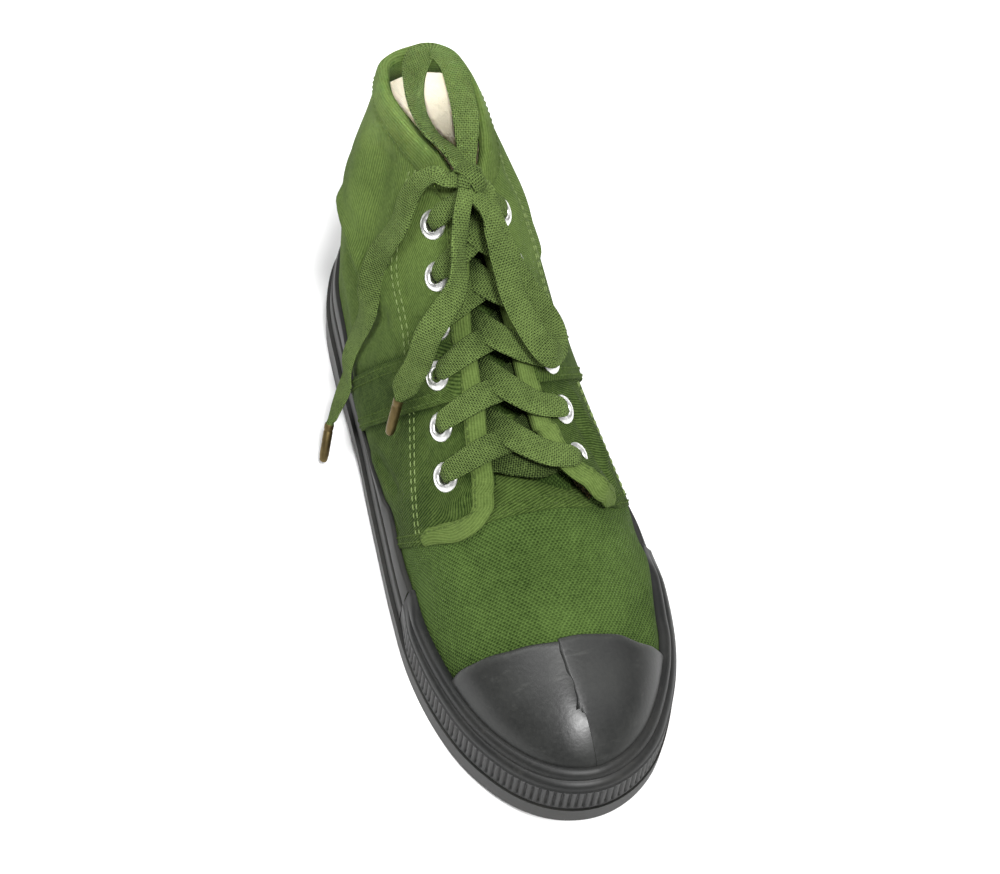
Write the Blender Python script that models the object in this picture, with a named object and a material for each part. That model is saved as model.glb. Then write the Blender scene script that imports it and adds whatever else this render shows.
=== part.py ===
"""High canvas army shoe, wearer's left, with a moulded rubber sole and flat laces.

Lengths are millimetres until each mesh is written, when they become metres.
The toe points to -Y, the wearer's outer side is +X, and the sole stands on z = 0.
"""
import math
from bisect import bisect_left, bisect_right
from collections import namedtuple

import bmesh
import bpy
from mathutils import Matrix, Vector

MM = 0.001
GAP = 0.3            # clearance between pieces that touch
FRAME_X = 0.554      # sets the middle of the sole's box on x = 0

# Sole
LENGTH = 280.0
TOE_SWING = -5.0     # how far the toe tip lies to the inner side
HEEL_SWING = -4.0    # and the heel's back
TOE_SPRING = 9.0
SPRING_START = -70.0
OUTSOLE_THICK = 8.0
HEEL_RISE = 7.0
ARCH_LIFT = 4.0
HEEL_BREAST = 62.0
ARCH_FRONT = 22.0
LUG_PITCH = 13.0
LUG_GROOVE = 4.0
LUG_DEPTH = 3.2
LEDGE = 1.5          # the outsole stands out past the foxing
FOXING_LOW = 9.0     # height of the lower, thicker strip
FOXING_HIGH = 17.0   # height of the whole foxing
FOXING_STEP = 0.9
FOXING_THICK = 3.2
STRIP_LEAN = 0.5     # how far the strips' lower faces lean in
STRIP_TOP = 1.4      # thickness left at the foxing's top edge
STRIP_CLEAR = 0.7    # the strips' inner edges bridge the wall's facets
BUMPER_SHARE = 0.36  # part of each half outline that the ribbed bumper covers
BUMPER_HIGH = 19.0
RIB_PITCH = 3.6
RIB_DEPTH = 1.3
RIB_FOOT = 1.6
RIB_HEAD = 12.5
BUMPER_PROUD = 1.0   # the bumper's face stands this far past the foxing's
BUMPER_TOP = 2.4

# Upper
WALL = 2.0
SWELL_HEIGHT = 0.42      # the sides swell most at this share of their height
SWELL_SPREAD = 0.30
THROAT_LEAD = 3.0        # the outer edge of the throat lies this far ahead, the inner one behind
FOOT_INSET = LEDGE + FOXING_THICK + GAP
RIBS_PER_SIDE = 29
RIB_ROWS = 9
WALL_ROWS = [k / RIB_ROWS for k in range(RIB_ROWS + 1)]
FLAP_ZONE = (0.36, 0.45)     # where the sections stand twice as close, for the flap's round end
WALL_HALF = [k / (2 * RIBS_PER_SIDE) for k in range(2 * RIBS_PER_SIDE + 1)
             if k % 2 == 0 or FLAP_ZONE[0] < k / (2 * RIBS_PER_SIDE) < FLAP_ZONE[1]]
WALL_PLACES = [-u for u in reversed(WALL_HALF[1:])] + WALL_HALF
TOE_CAP_REAR = 6 / RIBS_PER_SIDE         # share of the half outline where the toe cap ends
TOE_CAP_SLANT = 0.035    # its inner corner lies further back by this share
TOE_CAP_THICK = 1.5
OVERLAY_CLEAR = 0.4      # between the wall and what is laid on it
FACING_THICK = 1.2
FACING_WIDTH = 27.0
BAND_THICK = 1.0
BAND_FROM_TOP = FACING_WIDTH + 1.5   # the band starts behind the facing
BAND_FOOT = 3.0          # from the top of the foxing strip to the lower end of the band
BAND_STEPS = 4 * RIBS_PER_SIDE
COLLAR_FRONT_Y = 66.0
BINDING_OUT = 7.0
BINDING_IN = 12.0
BINDING_THICK = 0.9
BINDING_CLEAR = 0.6      # the collar twists, so its tape stands a little further off
TONGUE_THICK = 2.4
TONGUE_DROP = 1.6        # room between the upper's inside and the tongue
INSOLE_THICK = 3.5
INSOLE_ROOM = 1.0        # the wall leans in over the insole's edge

# Lacing
EYELETS_PER_SIDE = 6
EYELET_BACK = 12.5       # from the facing's edge to the hole's centre
EYELET_TOP_Y = 42.0
EYELET_LOW_Y = -33.0
EYELET_OUTER = 5.5
EYELET_BORE = 2.7
EYELET_BARREL = 3.2
EYELET_FLANGE = 1.0
EYELET_SEAT = 1.0        # the flange clears the curved cloth by this much at its centre
HOLE_RADIUS = 3.7
EYELET_SIDES = 9

LACE_WIDTH = 9.5
LACE_THICK = 1.5
LACE_LIFT = 5.6          # underside of a strand over the wall, clear of the eyelets
LACE_CROSS = 2.6         # height of a crossing over the throat's edges
STRAP_Y = 45.0           # the top strap runs up to the knot and is gathered there
STRAP_WIDTH = 6.5
LACE_HUB = (-5, 50, 70)  # free lace turns its face away from here
AGLET_RADIUS = 1.8
AGLET_GAP = 1.2          # the lace is cut square while the tip runs aslant
KNOT = (-4.5, 43.5, 142.5)
KNOT_HALF = (7.0, 6.5, 4.2)

# Routes of the free lace, from the knot outward, and the metal tips on its ends.
LACE_ROUTES = {
    "lace_loop_up": [
        (-3, 51.5, 141.5), (-1, 59, 145), (1, 68, 148.5), (2, 78, 150.5),
        (2.5, 88, 151.5), (0.5, 96, 151.5), (-5, 99, 151.5), (-10.5, 92, 152),
        (-14, 82, 151.5), (-15, 72, 149.5), (-13, 63, 147), (-8.5, 56, 145),
    ],
    "lace_loop_side": [
        (3.2, 40, 137.5), (5, 33, 133), (7, 24.5, 126.5), (10, 16, 118.5),
        (14, 8.5, 110.5), (17, 1.5, 104), (16.5, -5.5, 102), (13, -10, 104.5),
        (9.5, -8, 109), (7, -1, 114), (5, 7, 120), (3.5, 15.5, 127),
        (2.5, 24.5, 133.5), (2, 31, 138),
    ],
    "lace_end_inner": [
        (-11.5, 46, 141), (-15.5, 49.5, 141), (-20.5, 51.5, 135.5), (-25, 52, 125),
        (-30.5, 50, 110), (-35, 48.5, 96), (-38.5, 48, 81), (-41, 47, 66),
        (-43.5, 46, 51), (-46.5, 45, 39), (-49.5, 44, 29), (-52.5, 42.5, 20.5),
        (-54, 41.5, 17),
    ],
    "lace_end_front": [
        (-8.5, 36, 141), (-11, 31, 138), (-13, 25.5, 133), (-16, 19, 126.5),
        (-20.5, 12, 119), (-25.5, 6, 111.5), (-30.5, 3.5, 102), (-35.2, 3, 91),
        (-39, 3, 78.5),
    ],
}
AGLETS = {
    "aglet_inner": ((-54, 41.5, 17), (-58.5, 33.5, 4.5)),
    "aglet_front": ((-39, 3, 78.5), (-42.5, 0.5, 62.5)),
}

SolePlan = namedtuple("SolePlan", "along inner outer")
SOLE_PLAN = [
    SolePlan(0, 0, 0),
    SolePlan(9, 21.5, 21),
    SolePlan(35, 36.5, 35),
    SolePlan(70, 42.5, 38),
    SolePlan(110, 45, 42),
    SolePlan(150, 48.5, 48),
    SolePlan(180, 50.5, 51),
    SolePlan(205, 50.5, 50),
    SolePlan(230, 46, 45.5),
    SolePlan(250, 38.5, 37.5),
    SolePlan(268, 26, 25.5),
    SolePlan(277, 13.5, 13),
    SolePlan(LENGTH, 0, 0),
]

# One row for each cross-section of the upper: where its foot stands, where its top edge is and
# how far the two sides stand apart there, how much of a dome it is, and its swell on each side.
Section = namedtuple("Section", "foot_y top_y centre half top_z dome inner outer")
UPPER_SECTIONS = [
    Section(-140, -116, -5.5, 0.0, 44.0, 0.70, 2.0, 2.0),
    Section(-95, -91, -7.0, 0.0, 52.0, 0.92, 1.5, 1.5),
    Section(-62, -60, -8.0, 0.0, 63.5, 0.95, 1.0, 1.0),
    Section(-45, -48, -8.0, 0.0, 69.5, 0.90, 1.0, 1.0),
    Section(-35, -41, -8.0, 11.0, 73.5, 0.85, 1.0, 1.0),
    Section(-24, -31, -7.5, 12.3, 79.5, 0.80, 1.0, 1.0),
    Section(10, 1, -6.0, 8.0, 101.0, 0.75, 2.0, 2.0),
    Section(50, 44, -4.0, 2.2, 131.0, 0.80, 4.0, 4.0),
    Section(62, 54, -3.1, 6.9, 139.5, 0.68, 3.5, 6.0),
    Section(78, 66, -5.3, 11.9, 145.0, 0.58, 4.5, 6.5),
    Section(100, 84, -7.6, 15.2, 147.5, 0.48, 4.5, 6.5),
    Section(122, 100, -6.8, 13.0, 146.0, 0.25, 5.0, 7.5),
    Section(134, 106.5, -5.2, 7.0, 144.5, 0.00, 7.0, 8.0),
    Section(140, 108.5, -4.5, 0.0, 144.0, 0.00, 7.0, 7.0),
]

# The facing's front and rear edge, measured along each section from its top.
FacingRow = namedtuple("FacingRow", "foot_y front rear")
FACING_ROWS = [
    FacingRow(-51, 20, 32),
    FacingRow(-47, 12, 37),
    FacingRow(-42, 6, 38),
    FacingRow(-36, 1.5, 36),
    FacingRow(-30, 0.5, 31),
    FacingRow(-24, 0.3, 28),
    FacingRow(10, 0.3, FACING_WIDTH),
    FacingRow(50, 0.3, FACING_WIDTH),
]

# Lower and upper edge of the band that runs from the facing back and down to the sole.
BandRow = namedtuple("BandRow", "y low high")
BAND_ROWS = [
    BandRow(-12, 93, 130),
    BandRow(-5, 81, 118),
    BandRow(3, 68.5, 107),
    BandRow(12, 53, 93),
    BandRow(21, 38.5, 78),
    BandRow(28, 27, 67),
    BandRow(35, 15, 55),
    BandRow(52, -10, 27),
    BandRow(60, -20, 15),
]


# Curves and tables

def pchip(xs, ys, x):
    """Smooth value at x through a short table, without overshoot."""
    if x <= xs[0]:
        return ys[0]
    if x >= xs[-1]:
        return ys[-1]
    count = len(xs)
    widths = [xs[i + 1] - xs[i] for i in range(count - 1)]
    slopes = [(ys[i + 1] - ys[i]) / widths[i] for i in range(count - 1)]
    tangents = [slopes[0]] + [0.0] * (count - 2) + [slopes[-1]]
    for i in range(1, count - 1):
        if slopes[i - 1] * slopes[i] > 0:
            before = 2 * widths[i] + widths[i - 1]
            after = widths[i] + 2 * widths[i - 1]
            tangents[i] = (before + after) / (before / slopes[i - 1] + after / slopes[i])
    i = bisect_right(xs, x) - 1
    t = (x - xs[i]) / widths[i]
    rise = ys[i] * (1 + 2 * t) * (1 - t) ** 2 + ys[i + 1] * t * t * (3 - 2 * t)
    return rise + widths[i] * (tangents[i] * t * (1 - t) ** 2 - tangents[i + 1] * t * t * (1 - t))


def ramp(value, start, end):
    """Smooth step from 0 at start to 1 at end."""
    t = min(1.0, max(0.0, (value - start) / (end - start)))
    return t * t * (3 - 2 * t)


def closed_spline(points, steps):
    """Dense closed polyline through the points, with chord-spaced tangents."""
    count = len(points)
    dense = []
    for i in range(count):
        p0, p1, p2, p3 = (points[(i + k) % count] for k in (-1, 0, 1, 2))
        d1, d2, d3 = ((b - a).length ** 0.5 for a, b in ((p0, p1), (p1, p2), (p2, p3)))
        m1 = (p1 - p0) / d1 - (p2 - p0) / (d1 + d2) + (p2 - p1) / d2
        m2 = (p2 - p1) / d2 - (p3 - p1) / (d2 + d3) + (p3 - p2) / d3
        for k in range(steps):
            t = k / steps
            start = p1 * (1 + 2 * t) * (1 - t) ** 2 + m1 * d2 * t * (1 - t) ** 2
            dense.append(start + p2 * t * t * (3 - 2 * t) - m2 * d2 * t * t * (1 - t))
    return dense


def sole_outline():
    """Outsole edge from the toe tip round the outer side to the heel and back along the inner side."""
    outer = [Vector((row.outer, LENGTH / 2 - row.along)) for row in reversed(SOLE_PLAN)]
    inner = [Vector((-row.inner, LENGTH / 2 - row.along)) for row in SOLE_PLAN[1:-1]]
    points = outer + inner
    for p in points:
        share = p.y / (LENGTH / 2)
        p.x += (TOE_SWING if share < 0 else HEEL_SWING) * share ** 2
    return closed_spline(points, 24)


OUTLINE = sole_outline()
HEEL_INDEX = (len(SOLE_PLAN) - 1) * 24


def half_outline(side):
    """Toe-to-heel polyline of one side with its running lengths."""
    line = OUTLINE[:HEEL_INDEX + 1] if side > 0 else [OUTLINE[0]] + OUTLINE[:HEEL_INDEX - 1:-1]
    lengths = [0.0]
    for a, b in zip(line, line[1:]):
        lengths.append(lengths[-1] + (b - a).length)
    return line, lengths


HALVES = {1: half_outline(1), -1: half_outline(-1)}


def edge_frame(u):
    """Outsole edge point and outward normal at u: 0 at the toe tip, +1 or -1 at the heel back."""
    side = 1 if u >= 0 else -1
    line, lengths = HALVES[side]
    target = min(abs(u), 1.0) * lengths[-1]
    i = min(max(bisect_left(lengths, target), 1), len(line) - 1)
    t = (target - lengths[i - 1]) / (lengths[i] - lengths[i - 1])
    point = line[i - 1].lerp(line[i], t)
    tangent = line[i] - line[i - 1]
    if abs(u) < 1e-6:
        return point, Vector((0, -1))
    if abs(u) > 1 - 1e-6:
        return point, Vector((0, 1))
    return point, Vector((tangent.y, -tangent.x)).normalized() * side


def edge_point(u, inset):
    point, normal = edge_frame(u)
    return point - normal * inset


def u_at_y(y):
    """Share of the half outline at which the outer edge reaches y."""
    line, lengths = HALVES[1]
    for i in range(1, len(line)):
        if line[i].y >= y:
            t = (y - line[i - 1].y) / (line[i].y - line[i - 1].y)
            return (lengths[i - 1] + t * (lengths[i] - lengths[i - 1])) / lengths[-1]
    return 1.0


# Heights of the sole

def spring(y):
    return TOE_SPRING * max(0.0, (SPRING_START - y) / (LENGTH / 2 + SPRING_START)) ** 2


def sole_top(y):
    return OUTSOLE_THICK + spring(y) + HEEL_RISE * ramp(y, 0, 75)


# The upper's surface

SECTION_U = [u_at_y(row.foot_y) for row in UPPER_SECTIONS]
SECTION_U[0] = 0.0


def section_value(name, u):
    return pchip(SECTION_U, [getattr(row, name) for row in UPPER_SECTIONS], abs(u))


def top_point(u):
    """Top edge of the upper: vamp ridge, throat edge, then collar."""
    side = 1 if u >= 0 else -1
    half = section_value("half", u)
    y = section_value("top_y", u)
    lead = THROAT_LEAD * min(1.0, half / THROAT_LEAD) * (1 - ramp(y, -20, 40))
    x = section_value("centre", u) + side * half
    return Vector((x, y - side * lead, section_value("top_z", u)))


def foot_point(u):
    """Foot of a section; on the inner side of the toe the sections stand aslant."""
    slant = TOE_CAP_SLANT * math.exp(-((u + TOE_CAP_REAR) / 0.11) ** 2) if u < 0 else 0.0
    p = edge_point(u - slant * min(1.0, -u / TOE_CAP_REAR) if u < 0 else u, FOOT_INSET)
    return Vector((p.x, p.y, sole_top(p.y) + GAP))


def upper_point(u, h):
    """Outer face of the upper: h runs from 0 at the sole to 1 at the top edge."""
    foot = foot_point(u)
    top = top_point(u)
    dome = section_value("dome", u)
    angle = h * math.pi / 2
    across = dome * (1 - math.cos(angle) ** 0.95) + (1 - dome) * h
    rise = dome * math.sin(angle) ** 0.92 + (1 - dome) * h
    swell = section_value("outer" if u >= 0 else "inner", u)
    swell *= math.exp(-((h - SWELL_HEIGHT) / SWELL_SPREAD) ** 2) * math.sin(math.pi * h) ** 2
    normal = edge_frame(u)[1] * swell
    flat = foot.lerp(top, across)
    return Vector((flat.x + normal.x, flat.y + normal.y, foot.z + (top.z - foot.z) * rise))


def upper_normal(u, h):
    """Outward unit normal of the upper."""
    du, dh = 0.004, 0.01
    u0, u1 = max(-1.0, u - du), min(1.0, u + du)
    if u == 0:
        u0, u1 = -du, du
    elif abs(u) < du:
        u0, u1 = (0.0, 2 * du) if u > 0 else (-2 * du, 0.0)
    h0, h1 = max(0.0, h - dh), min(1.0, h + dh)
    along = upper_point(u1, h) - upper_point(u0, h)
    rise = upper_point(u, h1) - upper_point(u, h0)
    if h > 0.999 and section_value("half", u) < 1e-6 and abs(u) < 0.9:
        ahead = top_point(abs(u) + du) - top_point(max(0.0, abs(u) - du))
        return Vector((0, -ahead.z, ahead.y)).normalized()
    if abs(u) > 1 - 1e-6:
        back = Vector((0, rise.z, -rise.y if h > 0 else 0))
        return back.normalized()
    normal = along.cross(rise).normalized()
    if normal.dot(outward_hint(u)) < 0:
        normal = -normal
    return Vector((normal.x, normal.y, 0)).normalized() if h == 0 else normal


def outward_hint(u):
    n = edge_frame(u)[1]
    return Vector((n.x, n.y, 0.8))


def h_from_top(u, distance):
    """Height share of the point that lies this far down the section from its top."""
    steps = 40
    run = 0.0
    last = upper_point(u, 1.0)
    for k in range(1, steps + 1):
        point = upper_point(u, 1 - k / steps)
        piece = (point - last).length
        if run + piece >= distance:
            return 1 - (k - 1 + (distance - run) / piece) / steps
        run += piece
        last = point
    return 0.0


def on_upper(u, h, lift):
    return upper_point(u, h) + upper_normal(u, h) * lift


def wall_column(u, low, high, lift):
    """The wall's facets along one section, cut off at two height shares and lifted off the wall."""
    k = min(bisect_right(WALL_PLACES, u), len(WALL_PLACES) - 1)
    u0, u1 = WALL_PLACES[k - 1], WALL_PLACES[k]
    sides = [[on_upper(place, h, lift) for h in WALL_ROWS] for place in (u0, u1)]
    column = [a.lerp(b, (u - u0) / (u1 - u0)) for a, b in zip(*sides)]
    cut = []
    for h in WALL_ROWS:
        place = min(max(h, low), high) * RIB_ROWS
        k = min(int(place), RIB_ROWS - 1)
        cut.append(column[k].lerp(column[k + 1], place - k))
    return cut


def overlay_mesh(places, low, high, thickness):
    """Plate on the wall between two edges, given as height shares for each section."""
    grids = []
    for lift in (OVERLAY_CLEAR + thickness, OVERLAY_CLEAR):
        grids.append([wall_column(u, low(u), high(u), lift) for u in places])
    bm = shell_mesh(*grids)
    bmesh.ops.remove_doubles(bm, verts=bm.verts, dist=0.02)
    bmesh.ops.dissolve_degenerate(bm, edges=bm.edges, dist=0.01)
    return bm


def wall_places(start, end):
    """The wall's section places from one share to another."""
    low, high = sorted((start, end))
    return [u for u in WALL_PLACES if low - 1e-6 <= u <= high + 1e-6]


# Meshes

def new_object(name, bm, material):
    bmesh.ops.recalc_face_normals(bm, faces=bm.faces)
    if bm.calc_volume(signed=True) < 0:
        bmesh.ops.reverse_faces(bm, faces=bm.faces)
    mesh = bpy.data.meshes.new(name)
    bm.to_mesh(mesh)
    bm.free()
    mesh.transform(Matrix.Scale(MM, 4) @ Matrix.Translation((FRAME_X, 0, 0)))
    obj = bpy.data.objects.new(name, mesh)
    mesh.materials.append(material)
    mesh.shade_smooth()
    mesh.set_sharp_from_angle(angle=math.radians(40))
    PARTS.objects.link(obj)
    return obj


def grid_faces(bm, rows, wrap=False):
    """Quads between neighbouring rows of vertices."""
    for a, b in zip(rows, rows[1:]):
        last = len(a) if wrap else len(a) - 1
        for k in range(last):
            n = (k + 1) % len(a)
            bm.faces.new((a[k], a[n], b[n], b[k]))


def shell_mesh(outer, inner):
    """Closed plate between two equal grids of points."""
    bm = bmesh.new()
    top = [[bm.verts.new(p) for p in row] for row in outer]
    low = [[bm.verts.new(p) for p in row] for row in inner]
    grid_faces(bm, top)
    grid_faces(bm, low)
    grid_faces(bm, [top[0], low[0]])
    grid_faces(bm, [top[-1], low[-1]])
    grid_faces(bm, [[row[0] for row in top], [row[0] for row in low]])
    grid_faces(bm, [[row[-1] for row in top], [row[-1] for row in low]])
    return bm


def swept_mesh(loops, closed=False):
    """Closed solid through equal rings of points, capped where it isn't a ring itself."""
    bm = bmesh.new()
    rings = [[bm.verts.new(p) for p in loop] for loop in loops]
    grid_faces(bm, rings + [rings[0]] if closed else rings, wrap=True)
    if not closed:
        bm.faces.new(rings[0])
        bm.faces.new(rings[-1])
    return bm


def boolean(obj, cutter, operation):
    """Apply a Boolean with a cutter and drop the cutter."""
    mod = obj.modifiers.new("cut", "BOOLEAN")
    mod.operation = operation
    mod.object = cutter
    bpy.context.view_layer.update()
    done = bpy.data.meshes.new_from_object(obj.evaluated_get(bpy.context.evaluated_depsgraph_get()))
    obj.modifiers.clear()
    obj.data = done
    bpy.data.objects.remove(cutter)


def make_cutter(name, bm):
    cutter = new_object(name, bm, MATERIALS["rubber"])
    PARTS.objects.unlink(cutter)
    CUTTERS.objects.link(cutter)
    cutter.hide_render = True
    cutter.display_type = "WIRE"
    return cutter


def principled(name, colour, roughness, metallic=0.0):
    material = bpy.data.materials.new(name)
    material.use_nodes = True
    shader = material.node_tree.nodes["Principled BSDF"]
    shader.inputs["Base Color"].default_value = (*colour, 1)
    shader.inputs["Roughness"].default_value = roughness
    shader.inputs["Metallic"].default_value = metallic
    return material


# Sole pieces

def side_profile():
    """Outline of the outsole seen from the side, with its lugs, arch and toe spring."""
    bottom = []
    heel_back = LENGTH / 2 + 5
    toe_front = -LENGTH / 2 - 5
    y = heel_back
    grooves = []
    for count, start in ((4, LENGTH / 2 - 14), (12, ARCH_FRONT - 8)):
        grooves += [start - k * LUG_PITCH for k in range(count)]
    bottom.append((heel_back, 0.0))
    for g in grooves:
        if g < HEEL_BREAST and y > HEEL_BREAST:
            bottom += [(HEEL_BREAST, 0.0), (HEEL_BREAST - 3, ARCH_LIFT), (ARCH_FRONT, ARCH_LIFT * 0.75)]
            bottom.append((ARCH_FRONT - 6, spring(ARCH_FRONT)))
        for y, depth in ((g, 0), (g, LUG_DEPTH), (g - LUG_GROOVE, LUG_DEPTH), (g - LUG_GROOVE, 0)):
            bottom.append((y, spring(y) + depth))
    bottom.append((toe_front, spring(toe_front)))
    steps = 24
    ys = [toe_front + (heel_back - toe_front) * k / steps for k in range(steps + 1)]
    return bottom + [(y, sole_top(y)) for y in ys]


def build_outsole():
    rim = [edge_point(u, 0) for u in rib_positions(30)]
    bm = swept_mesh([[Vector((p.x, p.y, z)) for p in rim] for z in (-5.0, 45.0)])
    outsole = new_object("outsole", bm, MATERIALS["rubber"])
    profile = side_profile()
    bm = swept_mesh([[Vector((x, y, z)) for y, z in profile] for x in (-90.0, 90.0)])
    boolean(outsole, make_cutter("side_profile", bm), "INTERSECT")


def rib_positions(per_side):
    """Shares from the toe tip round the outer side, the heel and the inner side, each place once."""
    outer = [k / per_side for k in range(per_side + 1)]
    return outer + [-k / per_side for k in range(per_side - 1, 0, -1)]


def edge_corner(u, inset, height):
    """Corner of a sole strip, by its inset from the outsole's edge and its height over the outsole."""
    p = edge_point(u, inset)
    return Vector((p.x, p.y, sole_top(p.y) + height))


def wall_corner(u, lift, height):
    """Corner of a sole strip that lies against the wall."""
    return on_upper(u, h_at_height(u, height), lift)


def build_foxing():
    """Rubber strip in two steps round the sides and heel."""
    half = [BUMPER_SHARE + 0.002] + [u for u in WALL_HALF if u > BUMPER_SHARE + 0.01]
    loops = []
    for u in half + [-u for u in reversed(half[:-1])]:
        loops.append([
            edge_corner(u, LEDGE + FOXING_THICK, GAP),
            edge_corner(u, LEDGE, GAP),
            edge_corner(u, LEDGE + STRIP_LEAN, FOXING_LOW),
            edge_corner(u, LEDGE + STRIP_LEAN + FOXING_STEP, FOXING_LOW),
            wall_corner(u, STRIP_CLEAR + STRIP_TOP, FOXING_HIGH),
            wall_corner(u, STRIP_CLEAR, FOXING_HIGH),
            wall_corner(u, STRIP_CLEAR, FOXING_HIGH / 2),
        ])
    new_object("foxing", swept_mesh(loops), MATERIALS["rubber"])


def build_toe_bumper():
    """Thick ribbed strip round the toe, with a plain rim over the ribs that closes on the toe cap."""
    count = int(2 * BUMPER_SHARE * HALVES[1][1][-1] / RIB_PITCH)
    face = LEDGE - BUMPER_PROUD
    loops = []
    for k in range(2 * count + 1):
        u = BUMPER_SHARE * (k / count - 1)
        groove = RIB_DEPTH if k % 2 else 0.0
        loops.append([
            edge_corner(u, LEDGE + FOXING_THICK, GAP),
            edge_corner(u, face, GAP),
            edge_corner(u, face + groove, RIB_FOOT),
            edge_corner(u, face + groove + STRIP_LEAN, RIB_HEAD),
            wall_corner(u, STRIP_CLEAR + BUMPER_TOP, BUMPER_HIGH),
            wall_corner(u, STRIP_CLEAR, BUMPER_HIGH),
            wall_corner(u, STRIP_CLEAR, BUMPER_HIGH / 2),
        ])
    new_object("toe_bumper", swept_mesh(loops), MATERIALS["rubber"])


def build_insole():
    inset = FOOT_INSET + WALL + INSOLE_ROOM
    rim = [edge_point(u, inset) for u in rib_positions(RIBS_PER_SIDE)]
    lows = [Vector((p.x, p.y, sole_top(p.y) + GAP)) for p in rim]
    highs = [p + Vector((0, 0, INSOLE_THICK)) for p in lows]
    half = len(rim) // 2
    bm = bmesh.new()
    for ring in (lows, highs):
        verts = [bm.verts.new(p) for p in ring]
        for k in range(half):
            quad = [verts[k], verts[k + 1], verts[-k - 1], verts[-k]]
            bm.faces.new(list(dict.fromkeys(quad)))
    bm.verts.ensure_lookup_table()
    count = len(rim)
    for k in range(count):
        n = (k + 1) % count
        bm.faces.new([bm.verts[i] for i in (k, n, count + n, count + k)])
    new_object("insole", bm, MATERIALS["lining"])


# Upper pieces

def build_upper():
    """Canvas wall from the sole to the collar and throat; the two sides meet on the vamp ridge."""
    bm = bmesh.new()
    grids = []
    for lift in (0.0, -WALL):
        grid = [[bm.verts.new(on_upper(u, h, lift)) for h in WALL_ROWS] for u in WALL_PLACES]
        grids.append(grid)
        grid_faces(bm, grid)
    outer, inner = grids
    grid_faces(bm, [[rib[0] for rib in outer], [rib[0] for rib in inner]])
    for k, (u, v) in enumerate(zip(WALL_PLACES, WALL_PLACES[1:])):
        if max(section_value("half", u), section_value("half", v)) > 1e-6:
            bm.faces.new((outer[k][-1], outer[k + 1][-1], inner[k + 1][-1], inner[k][-1]))
    bmesh.ops.remove_doubles(bm, verts=bm.verts, dist=0.02)
    return new_object("upper", bm, MATERIALS["canvas"])


def build_toe_cap():
    """Rubber cap over the toe; its two sides meet on the vamp ridge as the wall does."""
    places = wall_places(-TOE_CAP_REAR, TOE_CAP_REAR)
    bm = bmesh.new()
    grids = []
    for lift in (OVERLAY_CLEAR, OVERLAY_CLEAR + TOE_CAP_THICK):
        columns = [wall_column(u, h_at_height(u, BUMPER_HIGH + 2 * GAP), 1.0, lift) for u in places]
        grid = [[bm.verts.new(p) for p in column] for column in columns]
        grids.append(grid)
        grid_faces(bm, grid)
    inner, outer = grids
    grid_faces(bm, [[rib[0] for rib in outer], [rib[0] for rib in inner]])
    grid_faces(bm, [outer[0], inner[0]])
    grid_faces(bm, [outer[-1], inner[-1]])
    bmesh.ops.remove_doubles(bm, verts=bm.verts, dist=0.02)
    bmesh.ops.dissolve_degenerate(bm, edges=bm.edges, dist=0.01)
    new_object("toe_cap", bm, MATERIALS["rubber"])


def h_at_height(u, height):
    """Share at which the upper stands this high over the outsole."""
    for k in range(101):
        p = upper_point(u, k / 100)
        if p.z - sole_top(p.y) >= height:
            return k / 100
    return 1.0


def build_facing(side, name):
    """Bound front flap that carries the eyelets and laps over the vamp."""
    us = [u_at_y(row.foot_y) for row in FACING_ROWS]

    def edge(name):
        values = [getattr(row, name) for row in FACING_ROWS]
        return lambda u: h_from_top(u, pchip(us, values, abs(u)))

    places = wall_places(side * us[0], side * us[-1])
    bm = overlay_mesh(places, edge("rear"), edge("front"), FACING_THICK)
    return new_object(name, bm, MATERIALS["canvas"])


def h_under(u, name):
    """Share at which one section rises past an edge of the band."""
    ys = [row.y for row in BAND_ROWS]
    zs = [getattr(row, name) for row in BAND_ROWS]
    for k in range(101):
        p = upper_point(u, k / 100)
        if p.z >= pchip(ys, zs, p.y):
            return k / 100
    return 1.0


def build_waist_band(side, name):
    """Sewn band across the side, from behind the facing back and down to the foxing."""
    def low(u):
        return max(h_under(u, "low"), h_at_height(u, FOXING_HIGH + BAND_FOOT))

    def high(u):
        return max(low(u), min(h_under(u, "high"), h_from_top(u, BAND_FROM_TOP)))

    reach = range(round(0.4 * BAND_STEPS), round(0.9 * BAND_STEPS))
    places = [side * k / BAND_STEPS for k in reach]
    places = [u for u in places if high(u) - low(u) > 0.01]
    bm = overlay_mesh(places, low, high, BAND_THICK)
    new_object(name, bm, MATERIALS["canvas"])


def build_collar_binding():
    """Tape folded over the collar's edge from the top eyelets round the back."""
    start = u_at_y(COLLAR_FRONT_Y)
    lateral = [u for u in WALL_PLACES if u >= start]
    places = lateral + [-u for u in reversed(lateral[:-1])]
    lifts = (BINDING_CLEAR, BINDING_CLEAR + BINDING_THICK)
    loops = []
    for u in places:
        out = h_from_top(u, BINDING_OUT)
        into = h_from_top(u, BINDING_IN)
        near = [wall_column(u, 0.0, out, lift)[-1] for lift in lifts]
        far = [wall_column(u, 0.0, into, -WALL - lift)[-1] for lift in lifts]
        rise = (upper_point(u, 1.0) - upper_point(u, 0.97)).normalized()
        edges = [on_upper(u, 1.0, lift) + rise * lift for lift in lifts]
        insides = [on_upper(u, 1.0, -WALL - lift) + rise * lift for lift in lifts]
        ring = [near[0], near[1], edges[1], insides[1], far[1], far[0], insides[0], edges[0]]
        loops.append(ring)
    new_object("collar_binding", swept_mesh(loops), MATERIALS["canvas"])


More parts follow.
